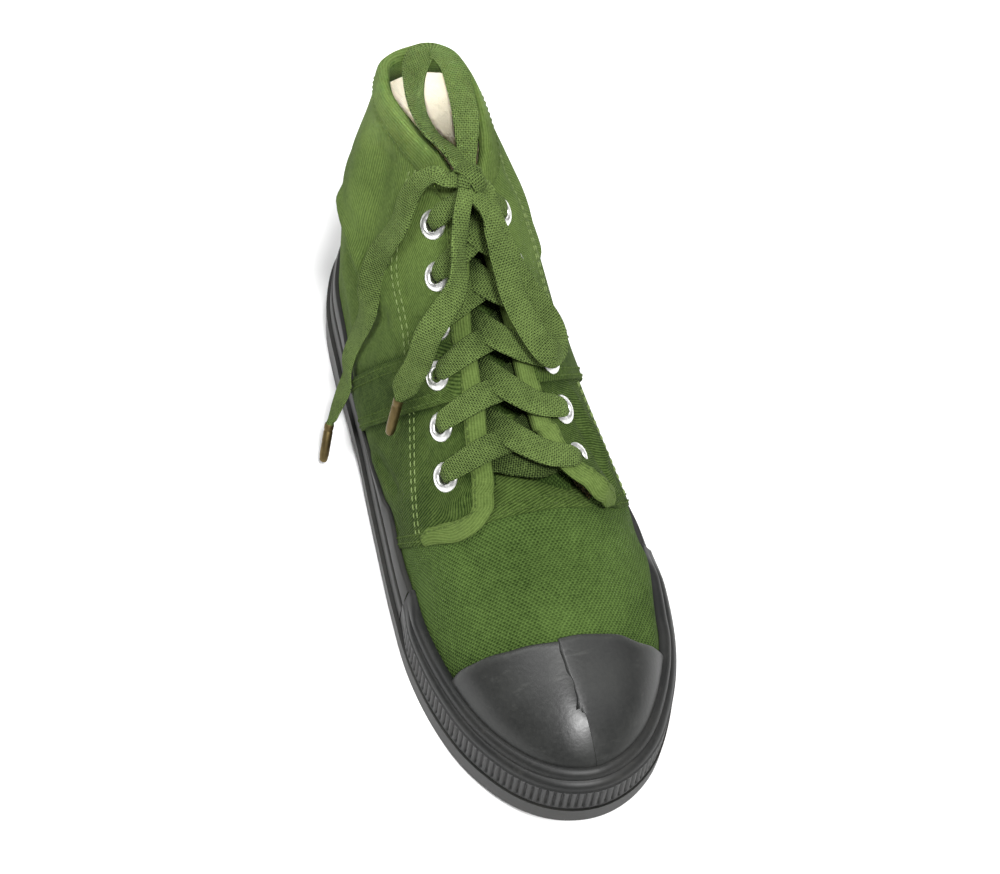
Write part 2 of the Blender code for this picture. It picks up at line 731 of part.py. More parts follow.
def eyelet_places(side):
    """Centre and normal of each eyelet on one side, from the top one down."""
    places = []
    for k in range(EYELETS_PER_SIDE):
        y = EYELET_TOP_Y + (EYELET_LOW_Y - EYELET_TOP_Y) * k / (EYELETS_PER_SIDE - 1)
        u = u_at_top_y(y)
        h = h_from_top(u, EYELET_BACK)
        places.append((upper_point(side * u, h), upper_normal(side * u, h)))
    return places


def u_at_top_y(y):
    """Share of the section whose top edge is at y."""
    low, high = 0.0, 1.0
    for _ in range(40):
        middle = (low + high) / 2
        if section_value("top_y", middle) < y:
            low = middle
        else:
            high = middle
    return low


def turned(profile, centre, normal, segments):
    """Ring turned from (radius, height) points about the normal."""
    turn = normal.to_track_quat("Z", "Y")
    loops = []
    for k in range(segments):
        angle = 2 * math.pi * k / segments
        spoke = Vector((math.cos(angle), math.sin(angle), 0))
        loops.append([centre + turn @ (spoke * r + Vector((0, 0, z))) for r, z in profile])
    return loops


def build_eyelets(upper, facings):
    seat = OVERLAY_CLEAR + FACING_THICK + EYELET_SEAT
    profile = [
        (EYELET_BORE, -WALL),
        (EYELET_BARREL, -WALL),
        (EYELET_BARREL, seat),
        (EYELET_OUTER, seat),
        (EYELET_OUTER - 0.8, seat + EYELET_FLANGE),
        (EYELET_BORE, seat + EYELET_FLANGE * 0.6),
    ]
    for side, word, facing in ((1, "outer", facings[0]), (-1, "inner", facings[1])):
        for k, (centre, normal) in enumerate(eyelet_places(side)):
            bm = swept_mesh(turned(profile, centre, normal, EYELET_SIDES), closed=True)
            new_object(f"eyelet_{word}_{k + 1}", bm, MATERIALS["metal"])
            for target in (upper, facing):
                hole = [(HOLE_RADIUS, -6.0), (HOLE_RADIUS, 6.0)]
                loops = turned(hole, centre, normal, EYELET_SIDES)
                drill = swept_mesh([[ring[i] for ring in loops] for i in (0, 1)])
                boolean(target, make_cutter("eyelet_hole", drill), "DIFFERENCE")


def build_tongue():
    """Cloth plate under the throat, from beneath the vamp up to the top eyelets."""
    drop = WALL + TONGUE_DROP
    rows = []
    for k in range(11):
        y = -58 + (EYELET_TOP_Y + 8 + 58) * k / 10
        u = u_at_top_y(y)
        reach = 19 + 3 * k / 10
        half = section_value("half", u)
        sides = []
        for side in (1, -1):
            h = h_from_top(u, reach - half * 0.5)
            sides.append(on_upper(side * u, h, -drop))
        crown = (top_point(u) + top_point(-u)) / 2
        slope = upper_normal(u, 0.999) + upper_normal(-u, 0.999)
        middle = crown - slope.normalized() * (drop + 0.4)
        bend = (sides[0] + sides[1]) / 2
        line = []
        for t in (-1, -0.66, -0.33, 0, 0.33, 0.66, 1):
            p = sides[0].lerp(sides[1], (t + 1) / 2)
            line.append(p + (middle - bend) * (1 - t * t) - slope.normalized() * 0.8 * (1 - t * t) ** 2)
        rows.append((line, slope.normalized()))
    tops = [line for line, _ in rows]
    lows = [[p - slope * TONGUE_THICK for p in line] for line, slope in rows]
    new_object("tongue", shell_mesh(tops, lows), MATERIALS["canvas"])


# Laces

def ribbon_mesh(points, normals, width, thickness):
    """Flat strip along the points, its face turned to the normals."""
    loops = []
    last = len(points) - 1
    for k, (p, n) in enumerate(zip(points, normals)):
        tangent = points[min(k + 1, last)] - points[max(k - 1, 0)]
        across = tangent.cross(n).normalized() * width / 2
        face = across.cross(tangent).normalized() * thickness / 2
        loops.append([p - across - face, p + across - face, p + across + face, p - across + face])
    return swept_mesh(loops)


def throat_edge(side, y, lift):
    """Point over the throat's edge and the normal there."""
    u = u_at_top_y(y) * side
    normal = upper_normal(u, 0.999)
    return top_point(u) + normal * lift, normal


def lace_start(side, k):
    """Where a strand leaves an eyelet, and the normal there."""
    centre, normal = eyelet_places(side)[k]
    return centre + normal * (LACE_LIFT + LACE_THICK / 2), normal


def lace_arm(side, k):
    """One strand from an eyelet over its own edge, past the middle of the throat towards the other edge."""
    start, normal = lace_start(side, k)
    step = (EYELET_TOP_Y - EYELET_LOW_Y) / (EYELETS_PER_SIDE - 1)
    y = EYELET_TOP_Y - k * step
    half = section_value("half", u_at_top_y(y + step * 0.5))
    lift = LACE_LIFT + (LACE_CROSS - LACE_LIFT) * ramp(half, LACE_WIDTH * 0.5, LACE_WIDTH)
    edge, edge_normal = throat_edge(side, y + step * 0.3, LACE_LIFT)
    ends = [throat_edge(s, y + step * 0.5, lift) for s in (side, -side)]
    up = (ends[0][1] + ends[1][1]).normalized()
    middle = (ends[0][0] + ends[1][0]) / 2 + up * side * LACE_THICK * 0.3
    far = throat_edge(-side, y + step * 0.7, lift)[0]
    past = middle.lerp(far, max(0.2, 1 - LACE_WIDTH / 2 / (far - middle).length))
    return [start, edge, middle, past], [normal, edge_normal, up, up]


def build_lace_crossings():
    """Each crossing is two joined strands over the throat; a bar lies under the edges at the bottom
    and a strap over them at the top, under the knot."""
    for k in range(EYELETS_PER_SIDE - 1, 0, -1):
        strands = []
        for side in (1, -1):
            points, normals = lace_arm(side, k)
            mesh = ribbon_mesh(points, normals, LACE_WIDTH, LACE_THICK)
            strands.append(new_object(f"lace_cross_{EYELETS_PER_SIDE - k}", mesh, MATERIALS["lace"]))
        boolean(strands[0], strands[1], "UNION")
    ends = [throat_edge(side, EYELET_LOW_Y, -WALL * 0.5)[0] for side in (1, -1)]
    span = (ends[1] - ends[0]).normalized()
    points = [ends[0] + span * 2.5, ends[1] - span * 2.5]
    up = Vector((0, -0.5, 0.86))
    new_object("lace_bar", ribbon_mesh(points, [up, up], LACE_WIDTH, LACE_THICK), MATERIALS["lace"])
    stops = [lace_start(1, 0), throat_edge(1, STRAP_Y, LACE_LIFT)]
    stops += [throat_edge(-1, STRAP_Y, LACE_LIFT), lace_start(-1, 0)]
    strap = ribbon_mesh([p for p, _ in stops], [n for _, n in stops], STRAP_WIDTH, LACE_THICK)
    new_object("lace_top", strap, MATERIALS["lace"])


def cord_normals(points):
    """Faces of a free lace look away from the middle of the shaft."""
    return [(p - Vector(LACE_HUB)).normalized() for p in points]


def smooth_route(route, steps):
    """Open curve through the route's points."""
    points = [Vector(p) for p in route]
    dense = []
    for k in range(len(points) - 1):
        p0, p1, p2, p3 = (points[min(max(k + d, 0), len(points) - 1)] for d in (-1, 0, 1, 2))
        for m in range(steps):
            t = m / steps
            bend = (p2 - p0) * t * (1 - t) ** 2 - (p3 - p1) * t * t * (1 - t)
            dense.append(p1.lerp(p2, t * t * (3 - 2 * t)) + bend * 0.5)
    return dense + [points[-1]]


def build_bow():
    """Knot, two loops and two ends with metal tips."""
    bm = bmesh.new()
    bmesh.ops.create_uvsphere(bm, u_segments=10, v_segments=6, radius=1.0)
    bmesh.ops.transform(bm, matrix=Matrix.Diagonal((*KNOT_HALF, 1)), verts=bm.verts)
    bmesh.ops.translate(bm, vec=Vector(KNOT), verts=bm.verts)
    new_object("lace_knot", bm, MATERIALS["lace"])
    for name, route in LACE_ROUTES.items():
        points = smooth_route(route, 2)
        mesh = ribbon_mesh(points, cord_normals(points), LACE_WIDTH, LACE_THICK)
        new_object(name, mesh, MATERIALS["lace"])
    for name, (start, end) in AGLETS.items():
        axis = Vector(end) - Vector(start)
        profile = [(AGLET_RADIUS, AGLET_GAP), (AGLET_RADIUS, axis.length)]
        loops = turned(profile, Vector(start), axis.normalized(), 8)
        bm = swept_mesh([[ring[i] for ring in loops] for i in (0, 1)])
        new_object(name, bm, MATERIALS["brass"])


PARTS = None
CUTTERS = None
MATERIALS = {}


def main():
    global PARTS, CUTTERS
    for old in list(bpy.data.objects):
        bpy.data.objects.remove(old)
    PARTS = bpy.data.collections.new("army_shoe")
    CUTTERS = bpy.data.collections.new("cutters")
    for collection in (PARTS, CUTTERS):
        bpy.context.scene.collection.children.link(collection)
    MATERIALS["canvas"] = principled("green_canvas", (0.07, 0.13, 0.025), 0.9)
    MATERIALS["rubber"] = principled("black_rubber", (0.02, 0.021, 0.023), 0.55)
    MATERIALS["lining"] = principled("cream_lining", (0.72, 0.68, 0.58), 0.9)
    MATERIALS["lace"] = principled("green_lace", (0.055, 0.12, 0.02), 0.85)
    MATERIALS["brass"] = principled("brass_tip", (0.32, 0.24, 0.09), 0.4, 0.9)
    MATERIALS["metal"] = principled("pale_metal", (0.85, 0.85, 0.84), 0.35, 0.9)
    build_outsole()
    build_foxing()
    build_toe_bumper()
    build_insole()
    upper = build_upper()
    build_toe_cap()
    facings = [build_facing(1, "facing_outer"), build_facing(-1, "facing_inner")]
    build_eyelets(upper, facings)
    build_tongue()
    build_waist_band(1, "waist_band_outer")
    build_waist_band(-1, "waist_band_inner")
    build_collar_binding()
    build_lace_crossings()
    build_bow()


main()
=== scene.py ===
import math

import bmesh
import bpy
import numpy as np
from mathutils import Matrix, Vector
from mathutils.kdtree import KDTree


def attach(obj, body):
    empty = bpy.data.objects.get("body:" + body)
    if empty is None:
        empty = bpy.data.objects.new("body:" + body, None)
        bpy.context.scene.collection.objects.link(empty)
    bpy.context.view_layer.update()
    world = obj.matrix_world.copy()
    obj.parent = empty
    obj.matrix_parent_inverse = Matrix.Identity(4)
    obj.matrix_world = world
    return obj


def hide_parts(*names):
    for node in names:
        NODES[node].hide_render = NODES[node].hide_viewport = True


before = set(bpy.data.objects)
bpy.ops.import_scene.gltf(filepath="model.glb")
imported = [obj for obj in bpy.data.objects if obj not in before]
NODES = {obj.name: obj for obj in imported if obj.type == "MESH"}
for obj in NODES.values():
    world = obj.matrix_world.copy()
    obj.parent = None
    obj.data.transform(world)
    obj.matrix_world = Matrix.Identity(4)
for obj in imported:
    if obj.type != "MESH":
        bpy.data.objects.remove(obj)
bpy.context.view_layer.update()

# Lengths are millimetres until a mesh is made. The toe points to -Y and the wearer's outer side is +X.
MM = 0.001
# Shift in x from the tables' frame to the shared one.
FRAME_X = 0.554

# Sizes and tables shared with the solids.
GAP = 0.3
LENGTH = 280.0
TOE_SWING = -5.0
HEEL_SWING = -4.0
TOE_SPRING = 9.0
SPRING_START = -70.0
OUTSOLE_THICK = 8.0
HEEL_RISE = 7.0
ARCH_LIFT = 4.0
HEEL_BREAST = 62.0
ARCH_FRONT = 22.0
LUG_PITCH = 13.0
LUG_GROOVE = 4.0
LUG_DEPTH = 3.2
LEDGE = 1.5
FOXING_HIGH = 17.0
FOXING_THICK = 3.2
BUMPER_SHARE = 0.36
BUMPER_HIGH = 19.0
WALL = 2.0
SWELL_HEIGHT = 0.42
SWELL_SPREAD = 0.30
THROAT_LEAD = 3.0
FOOT_INSET = LEDGE + FOXING_THICK + GAP
TOE_CAP_REAR = 6 / 29
TOE_CAP_SLANT = 0.035
EYELET_YS = [42.0, 27.0, 12.0, -3.0, -18.0, -33.0]
EYELET_STEP = 15.0
EYELET_BACK = 12.5
LACE_WIDTH = 9.5
LACE_THICK = 1.5
LACE_HUB = (-5, 50, 70)
KNOT = (-4.5, 43.5, 142.5)

LACE_ROUTES = {
    "lace_loop_up": [
        (-3, 51.5, 141.5), (-1, 59, 145), (1, 68, 148.5), (2, 78, 150.5),
        (2.5, 88, 151.5), (0.5, 96, 151.5), (-5, 99, 151.5), (-10.5, 92, 152),
        (-14, 82, 151.5), (-15, 72, 149.5), (-13, 63, 147), (-8.5, 56, 145),
    ],
    "lace_loop_side": [
        (3.2, 40, 137.5), (5, 33, 133), (7, 24.5, 126.5), (10, 16, 118.5),
        (14, 8.5, 110.5), (17, 1.5, 104), (16.5, -5.5, 102), (13, -10, 104.5),
        (9.5, -8, 109), (7, -1, 114), (5, 7, 120), (3.5, 15.5, 127),
        (2.5, 24.5, 133.5), (2, 31, 138),
    ],
    "lace_end_inner": [
        (-11.5, 46, 141), (-15.5, 49.5, 141), (-20.5, 51.5, 135.5), (-25, 52, 125),
        (-30.5, 50, 110), (-35, 48.5, 96), (-38.5, 48, 81), (-41, 47, 66),
        (-43.5, 46, 51), (-46.5, 45, 39), (-49.5, 44, 29), (-52.5, 42.5, 20.5),
        (-54, 41.5, 17),
    ],
    "lace_end_front": [
        (-8.5, 36, 141), (-11, 31, 138), (-13, 25.5, 133), (-16, 19, 126.5),
        (-20.5, 12, 119), (-25.5, 6, 111.5), (-30.5, 3.5, 102), (-35.2, 3, 91),
        (-39, 3, 78.5),
    ],
}
AGLETS = {
    "aglet_inner": ((-54, 41.5, 17), (-58.5, 33.5, 4.5)),
    "aglet_front": ((-39, 3, 78.5), (-42.5, 0.5, 62.5)),
}

SOLE_PLAN = [
    (0, 0, 0), (9, 21.5, 21), (35, 36.5, 35), (70, 42.5, 38), (110, 45, 42), (150, 48.5, 48),
    (180, 50.5, 51), (205, 50.5, 50), (230, 46, 45.5), (250, 38.5, 37.5), (268, 26, 25.5),
    (277, 13.5, 13), (LENGTH, 0, 0),
]
SECTION_NAMES = ("foot_y", "top_y", "centre", "half", "top_z", "dome", "inner", "outer")
SECTIONS = np.array([
    (-140, -116, -5.5, 0.0, 44.0, 0.70, 2.0, 2.0),
    (-95, -91, -7.0, 0.0, 52.0, 0.92, 1.5, 1.5),
    (-62, -60, -8.0, 0.0, 63.5, 0.95, 1.0, 1.0),
    (-45, -48, -8.0, 0.0, 69.5, 0.90, 1.0, 1.0),
    (-35, -41, -8.0, 11.0, 73.5, 0.85, 1.0, 1.0),
    (-24, -31, -7.5, 12.3, 79.5, 0.80, 1.0, 1.0),
    (10, 1, -6.0, 8.0, 101.0, 0.75, 2.0, 2.0),
    (50, 44, -4.0, 2.2, 131.0, 0.80, 4.0, 4.0),
    (62, 54, -3.1, 6.9, 139.5, 0.68, 3.5, 6.0),
    (78, 66, -5.3, 11.9, 145.0, 0.58, 4.5, 6.5),
    (100, 84, -7.6, 15.2, 147.5, 0.48, 4.5, 6.5),
    (122, 100, -6.8, 13.0, 146.0, 0.25, 5.0, 7.5),
    (134, 106.5, -5.2, 7.0, 144.5, 0.00, 7.0, 8.0),
    (140, 108.5, -4.5, 0.0, 144.0, 0.00, 7.0, 7.0),
])
BAND_LOW = [(93, -12), (81, -5), (68.5, 3), (53, 12), (38.5, 21), (27, 28), (15, 35)]
BAND_HIGH = [(118, -5), (107, 3), (93, 12), (78, 21), (67, 28), (55, 35), (27, 52), (15, 60)]

# Free laces: waves in the hanging ends, and the narrow start beside the knot.
WAVES = 2.2
WAVE_LENGTH = 46.0
LACE_NECK = 5.8
NECK_THICK = 2.8
LOOP_PULL = 3.2
# Where a lace turns on edge: how far along, over what length, by what angle.
TWISTS = {
    "lace_loop_up": [(84.0, 26.0, 0.85)],
    "lace_loop_side": [],
    "lace_end_front": [(27.0, 15.0, 0.95)],
    "lace_end_inner": [(20.0, 13.0, 0.9), (66.0, 15.0, 0.9)],
}
TWIST_SHADE = 0.38
BOW_TONE = 0.14

# Front edge of each quarter, from the throat round the flap's corner and down to the sole.
FLAP_LINES = {
    1: [(4.4, -22, 82), (6.3, -29, 78.5), (8.8, -35, 75), (12.5, -40, 71), (17.5, -44.3, 66),
        (22.5, -46.3, 61.5), (27.5, -46.3, 57), (32.5, -44.5, 51), (37, -40, 44), (40.5, -34.5, 35),
        (43.5, -27, 22), (45.5, -21, 12), (46, -18.5, 8.5)],
    -1: [(-20, -30, 78), (-20.5, -36, 75.5), (-21.5, -41, 70.5), (-24, -44.5, 66), (-29, -45.8, 60.5),
         (-34.5, -43, 54), (-39, -38.5, 46), (-42, -32.5, 36), (-43.8, -25, 24), (-45, -20, 14),
         (-45.5, -17.5, 8.5)],
}

# Soft troughs (negative) and ridges: points on the cloth, half width, depth.
CREASES = [
    ([(-41.4, 5.3, 37.4), (-41, -3, 40.5), (-40.5, -9.9, 42.1)], 3.5, -1.4),
    ([(-44.6, -7.7, 25), (-42.8, -18.8, 27.8)], 3.0, -1.2),
    ([(-43, 12, 30), (-42, -2, 33)], 4.0, 1.0),
    ([(36, -58, 33), (34, -75.3, 36.9), (30, -94, 35)], 5.5, 1.3),
    ([(38, -52, 26), (38, -78, 25)], 5.0, -1.1),
    ([(-30, -49.5, 57.1), (-28.5, -60, 56.5)], 3.5, -1.3),
    ([(-14, -58, 65), (6, -62, 64)], 6.0, -1.3),
    ([(-24, -72, 56), (-2, -74, 60), (16, -70, 57)], 5.0, 0.8),
    ([(24, -20, 79), (31, -36, 60)], 2.8, -1.5),
    ([(28, -12, 80), (35, -26, 62)], 3.5, 1.3),
    ([(-33, 72, 128), (-38, 64, 100), (-41, 58, 82)], 6.0, -2.4),
    ([(-44, 92, 90), (-45, 76, 86), (-44, 62, 80)], 5.0, 2.6),
    ([(-45, 90, 74), (-46, 72, 70), (-46, 54, 66)], 5.0, -2.4),
    ([(-45, 84, 58), (-47, 64, 54)], 6.0, 1.6),
    ([(-38, 86, 122), (-43, 82, 100)], 8.0, 1.8),
    ([(-39, 38, 82), (-43, 52, 66)], 4.5, -1.8),
    ([(-41, 30, 66), (-45, 48, 46)], 6.0, 1.2),
    ([(22, 62, 126), (33, 56, 96), (38, 46, 72)], 5.5, -2.4),
    ([(36, 78, 84), (39, 60, 78)], 5.0, 2.0),
    ([(38, 80, 68), (40, 58, 62)], 5.0, -1.9),
    ([(36, 20, 66), (40, 36, 50)], 6.0, -1.3),
    ([(-10, 118, 70), (6, 119, 74)], 7.0, -1.2),
    ([(-30, 104, 92), (-34, 96, 64)], 8.0, -1.4),
    ([(24, 108, 96), (32, 98, 66)], 8.0, -1.3),
]

# The inner side swells over the sole at the waist.
WAIST_SWELL = 5.0
WAIST_Y = 26.0
WAIST_Z = 40.0
WAIST_LONG = 36.0
WAIST_TALL = 19.0

SIDES = ((1, "outer"), (-1, "inner"))

# How far the layers stand off the upper, how wide they are, and where they end.
QUARTER_LIFT = 1.1
LOW_LIFT = 0.7
FLAP_RISE = {1: 6.0, -1: 1.8}
WALL_RUN = 95.0
HOLE = 3.0
LINING_LIFT = -1.6
LINING_HOLE = 4.2
BAND_RISE = 1.5
TAPE_LIFT = 1.9
TAPE_THROAT = 7.0
TAPE_COLLAR = 9.0
FLAP_TAPE = {1: 44.0, -1: 45.0}
OVERHANG = 4.5
OUTER_OVERHANG = 2.5
VAMP_SHARE = 0.62
TONGUE_FRONT = -58.0
TONGUE_REAR = 50.0
HEM_Y = -48.5
HEM_LOW = 0.66
HEM_DROP = 4.6
CAP_THICK = 1.75
CAP_OVER = 0.35
CAP_EDGE = (0.15, 0.5, 1.1, 0.0)
SEAM_LAP = 0.9
RIM = 5.0
RIBS = 84
STITCH_LIFT = 0.15

# Tones: darker below 0, lighter above.
QUARTER_TONE = -0.20
SHAFT_TONE = 0.42
# Painted shade on the quarters beside the band's raised edges.
BAND_EDGE_SHADE = 0.22
# Painted shade on the quarters under the binding along their top edge.
TAPE_EDGE_SHADE = 0.15
BAND_TONE = -0.16
# Painted light on the binding along the throat, fading out up the collar.
THROAT_TAPE_LIGHT = 0.16
# Painted shade on the binding's inner face.
INSIDE_SHADE = 0.3
# Painted shade: the whole tongue is darkened, as it lies deep in the throat under the laces.
TONGUE_SHADE = -0.30
ROOT_TONE = -0.04
BUMPER_TONE = -0.16
FOXING_TONE = 0.02


# Curves and the upper's surface

def ramp(value, start, end):
    """Smooth step from 0 at the start to 1 at the end."""
    t = np.clip((np.asarray(value, float) - start) / (end - start), 0.0, 1.0)
    return t * t * (3 - 2 * t)


def pchip(xs, ys, x):
    """Smooth values at x through a short table, without overshoot."""
    xs, ys, x = (np.asarray(a, float) for a in (xs, ys, x))
    width = np.diff(xs)
    slope = np.diff(ys) / width
    tangent = np.concatenate([slope[:1], np.zeros(len(xs) - 2), slope[-1:]])
    same = slope[:-1] * slope[1:] > 0
    before = 2 * width[1:] + width[:-1]
    after = width[1:] + 2 * width[:-1]
    a = np.where(same, slope[:-1], 1.0)
    b = np.where(same, slope[1:], 1.0)
    tangent[1:-1] = np.where(same, (before + after) / (before / a + after / b), 0.0)
    x = np.clip(x, xs[0], xs[-1])
    i = np.clip(np.searchsorted(xs, x, side="right") - 1, 0, len(xs) - 2)
    t = (x - xs[i]) / width[i]
    rise = ys[i] * (1 + 2 * t) * (1 - t) ** 2 + ys[i + 1] * t * t * (3 - 2 * t)
    return rise + width[i] * (tangent[i] * t * (1 - t) ** 2 - tangent[i + 1] * t * t * (1 - t))


def unit(v):
    return v / np.maximum(np.linalg.norm(v, axis=-1, keepdims=True), 1e-9)


def running(points):
    """Length of a polyline up to each of its points."""
    return np.concatenate([[0.0], np.cumsum(np.linalg.norm(np.diff(points, axis=0), axis=1))])


def row_runs(points):
    """Length along each row of a grid up to each of its points."""
    steps = np.linalg.norm(np.diff(points, axis=1), axis=-1)
    return np.concatenate([np.zeros((len(points), 1)), np.cumsum(steps, axis=1)], axis=1)


def sampled(at, run, rows):
    """Rows of a table read off at some runs along it."""
    return np.stack([np.interp(at, run, column) for column in rows.T], axis=1)


def sole_outline():
    """Outsole edge from the toe tip round the outer side to the heel and back along the inner side."""
    outer = [(o, LENGTH / 2 - along) for along, _, o in reversed(SOLE_PLAN)]
    inner = [(-i, LENGTH / 2 - along) for along, i, _ in SOLE_PLAN[1:-1]]
    points = np.array(outer + inner, float)
    share = points[:, 1] / (LENGTH / 2)
    points[:, 0] += np.where(share < 0, TOE_SWING, HEEL_SWING) * share ** 2
    count = len(points)
    t = (np.arange(24) / 24)[:, None]
    dense = []
    for i in range(count):
        p0, p1, p2, p3 = (points[(i + k) % count] for k in (-1, 0, 1, 2))
        d1, d2, d3 = (np.linalg.norm(b - a) ** 0.5 for a, b in ((p0, p1), (p1, p2), (p2, p3)))
        m1 = (p1 - p0) / d1 - (p2 - p0) / (d1 + d2) + (p2 - p1) / d2
        m2 = (p2 - p1) / d2 - (p3 - p1) / (d2 + d3) + (p3 - p2) / d3
        start = p1 * (1 + 2 * t) * (1 - t) ** 2 + m1 * d2 * t * (1 - t) ** 2
        dense.append(start + p2 * t * t * (3 - 2 * t) - m2 * d2 * t * t * (1 - t))
    return np.vstack(dense)


OUTLINE = sole_outline()
HEEL_INDEX = (len(SOLE_PLAN) - 1) * 24


def half_outline(side):
    """Shares, points and outward normals of one side from toe to heel, and its length."""
    line = OUTLINE[:HEEL_INDEX + 1] if side > 0 else np.vstack([OUTLINE[:1], OUTLINE[:HEEL_INDEX - 1:-1]])
    run = running(line)
    way = unit(np.diff(line, axis=0))
    tangent = np.vstack([way[:1], way[1:] + way[:-1], way[-1:]])
    normal = np.stack([tangent[:, 1], -tangent[:, 0]], axis=1) * side
    normal[0] = (0, -1)
    normal[-1] = (0, 1)
    return run / run[-1], line, unit(normal), run[-1]


HALVES = {1: half_outline(1), -1: half_outline(-1)}
HALF_LENGTH = HALVES[1][3]


def wrapped(u):
    """Shares past the heel's back go on along the other side."""
    u = np.asarray(u, float)
    return np.where(u > 1, u - 2, np.where(u < -1, u + 2, u))


def edge(u):
    """Outsole edge points and outward normals: u is 0 at the toe tip, +1 or -1 at the heel's back."""
    u = np.asarray(np.clip(u, -1, 1), float)
    parts = [np.empty(u.shape) for _ in range(4)]
    for side in (1, -1):
        pick = u >= 0 if side > 0 else u < 0
        share, line, normal, _ = HALVES[side]
        for k in range(2):
            parts[k][pick] = np.interp(np.abs(u[pick]), share, line[:, k])
            parts[2 + k][pick] = np.interp(np.abs(u[pick]), share, normal[:, k])
    size = np.hypot(parts[2], parts[3])
    return parts[0], parts[1], parts[2] / size, parts[3] / size


def u_at_y(y):
    share, line, _, _ = HALVES[1]
    return np.interp(y, line[:, 1], share)


def spring(y):
    return TOE_SPRING * np.maximum(0.0, (SPRING_START - y) / (LENGTH / 2 + SPRING_START)) ** 2


def sole_top(y):
    return OUTSOLE_THICK + spring(y) + HEEL_RISE * ramp(y, 0, 75)


SECTION_U = u_at_y(SECTIONS[:, 0])
SECTION_U[0] = 0.0


def section(name, u):
    return pchip(SECTION_U, SECTIONS[:, SECTION_NAMES.index(name)], np.abs(u))


def u_at_top_y(y):
    us = np.linspace(0, 1, 1501)
    return np.interp(y, section("top_y", us), us)


def wall(u, h, gap=1.0):
    """Outer face of the upper: h is 0 at the sole and 1 at the top edge. A gap of 0 closes the throat."""
    u, h = np.broadcast_arrays(wrapped(u), np.clip(np.asarray(h, float), 0, 1))
    side = np.where(u >= 0, 1.0, -1.0)
    slant = TOE_CAP_SLANT * np.exp(-((u + TOE_CAP_REAR) / 0.11) ** 2) * np.clip(-u / TOE_CAP_REAR, 0, 1)
    foot_x, foot_y, out_x, out_y = edge(u - slant)
    foot_x = foot_x - out_x * FOOT_INSET
    foot_y = foot_y - out_y * FOOT_INSET
    foot_z = sole_top(foot_y) + GAP
    half = section("half", u) * gap
    top_y = section("top_y", u)
    lead = THROAT_LEAD * np.minimum(1.0, half / THROAT_LEAD) * (1 - ramp(top_y, -20, 40))
    top_x = section("centre", u) + side * half
    top_y = top_y - side * lead
    top_z = section("top_z", u)
    dome = section("dome", u)
    angle = h * math.pi / 2
    across = dome * (1 - np.clip(np.cos(angle), 0, 1) ** 0.95) + (1 - dome) * h
    rise = dome * np.sin(angle) ** 0.92 + (1 - dome) * h
    swell = np.where(u >= 0, section("outer", u), section("inner", u))
    swell = swell * np.exp(-((h - SWELL_HEIGHT) / SWELL_SPREAD) ** 2) * np.sin(math.pi * h) ** 2
    _, _, out_x, out_y = edge(u)
    x = foot_x + (top_x - foot_x) * across + out_x * swell
    y = foot_y + (top_y - foot_y) * across + out_y * swell
    return np.stack([x, y, foot_z + (top_z - foot_z) * rise], axis=-1)


def surface(u, h, gap=1.0):
    """Points of the upper with their tangents along u and h, and outward normals."""
    u, h = np.broadcast_arrays(np.asarray(u, float), np.asarray(h, float))
    du, dh = 0.003, 0.006
    along = (wall(u + du, h, gap) - wall(u - du, h, gap)) / (2 * du)
    high, low = np.minimum(h + dh, 1), np.maximum(h - dh, 0)
    rise = (wall(u, high, gap) - wall(u, low, gap)) / (high - low)[..., None]
    return wall(u, h, gap), along, rise, unit(np.cross(along, rise))


def crease(points):
    """How far the cloth's listed folds stand off at each point."""
    flat = points.reshape(-1, 3)
    total = np.zeros(len(flat))
    for line, width, depth in FOLDS:
        best = np.full(len(flat), 1e9)
        for a, b in zip(line, line[1:]):
            t = np.clip((flat - a) @ (b - a) / ((b - a) @ (b - a)), 0, 1)
            best = np.minimum(best, ((flat - a - t[:, None] * (b - a)) ** 2).sum(1))
        total += depth * np.exp(-best / width ** 2)
    y, z = flat[:, 1], flat[:, 2]
    swell = np.exp(-((y - WAIST_Y) / WAIST_LONG) ** 2 - ((z - WAIST_Z) / WAIST_TALL) ** 2)
    total += WAIST_SWELL * swell * ramp(-flat[:, 0], 20, 34)
    return total.reshape(points.shape[:-1])


def skin(u, h, lift, gap=1.0):
    """Points on the cloth, lifted off the upper's face, with folds."""
    point, _, _, normal = surface(u, h, gap)
    return point + normal * (np.asarray(lift, float) + crease(point))[..., None]


def steps_in_surface(along, rise, vector):
    """Changes of u and h that move a point by a vector, as far as the surface allows."""
    aa, ar, rr = (along * along).sum(-1), (along * rise).sum(-1), (rise * rise).sum(-1)
    av, rv = (along * vector).sum(-1), (rise * vector).sum(-1)
    det = aa * rr - ar * ar
    return (av * rr - rv * ar) / det, (rv * aa - av * ar) / det


def side_grid(side, count):
    """Shares u and h all over one side of the upper, and its points there."""
    us, hs = np.meshgrid(side * np.linspace(0.12, 1, count), np.linspace(0, 1, 120), indexing="ij")
    return us.reshape(-1), hs.reshape(-1), wall(us, hs).reshape(-1, 3)


def locate(side, points):
    """Shares u and h of the spots on one side of the upper that are nearest to some points."""
    points = np.asarray(points, float)
    us, hs, cloud = side_grid(side, 200)
    near = [np.argmin(((cloud - p) ** 2).sum(1)) for p in points]
    u, h = us[near], hs[near]
    for _ in range(4):
        point, along, rise, _ = surface(u, h)
        du, dh = steps_in_surface(along, rise, points - point)
        u = side * np.clip(side * (u + np.clip(du, -0.01, 0.01)), 0.1, 1)
        h = np.clip(h + np.clip(dh, -0.02, 0.02), 0, 1)
    return u, h


def on_upper(line):
    """A listed line moved onto the upper's face."""
    return wall(*locate(1 if np.mean(line, axis=0)[0] > -5 else -1, line))


FOLDS = [(on_upper(line), width, depth) for line, width, depth in CREASES]


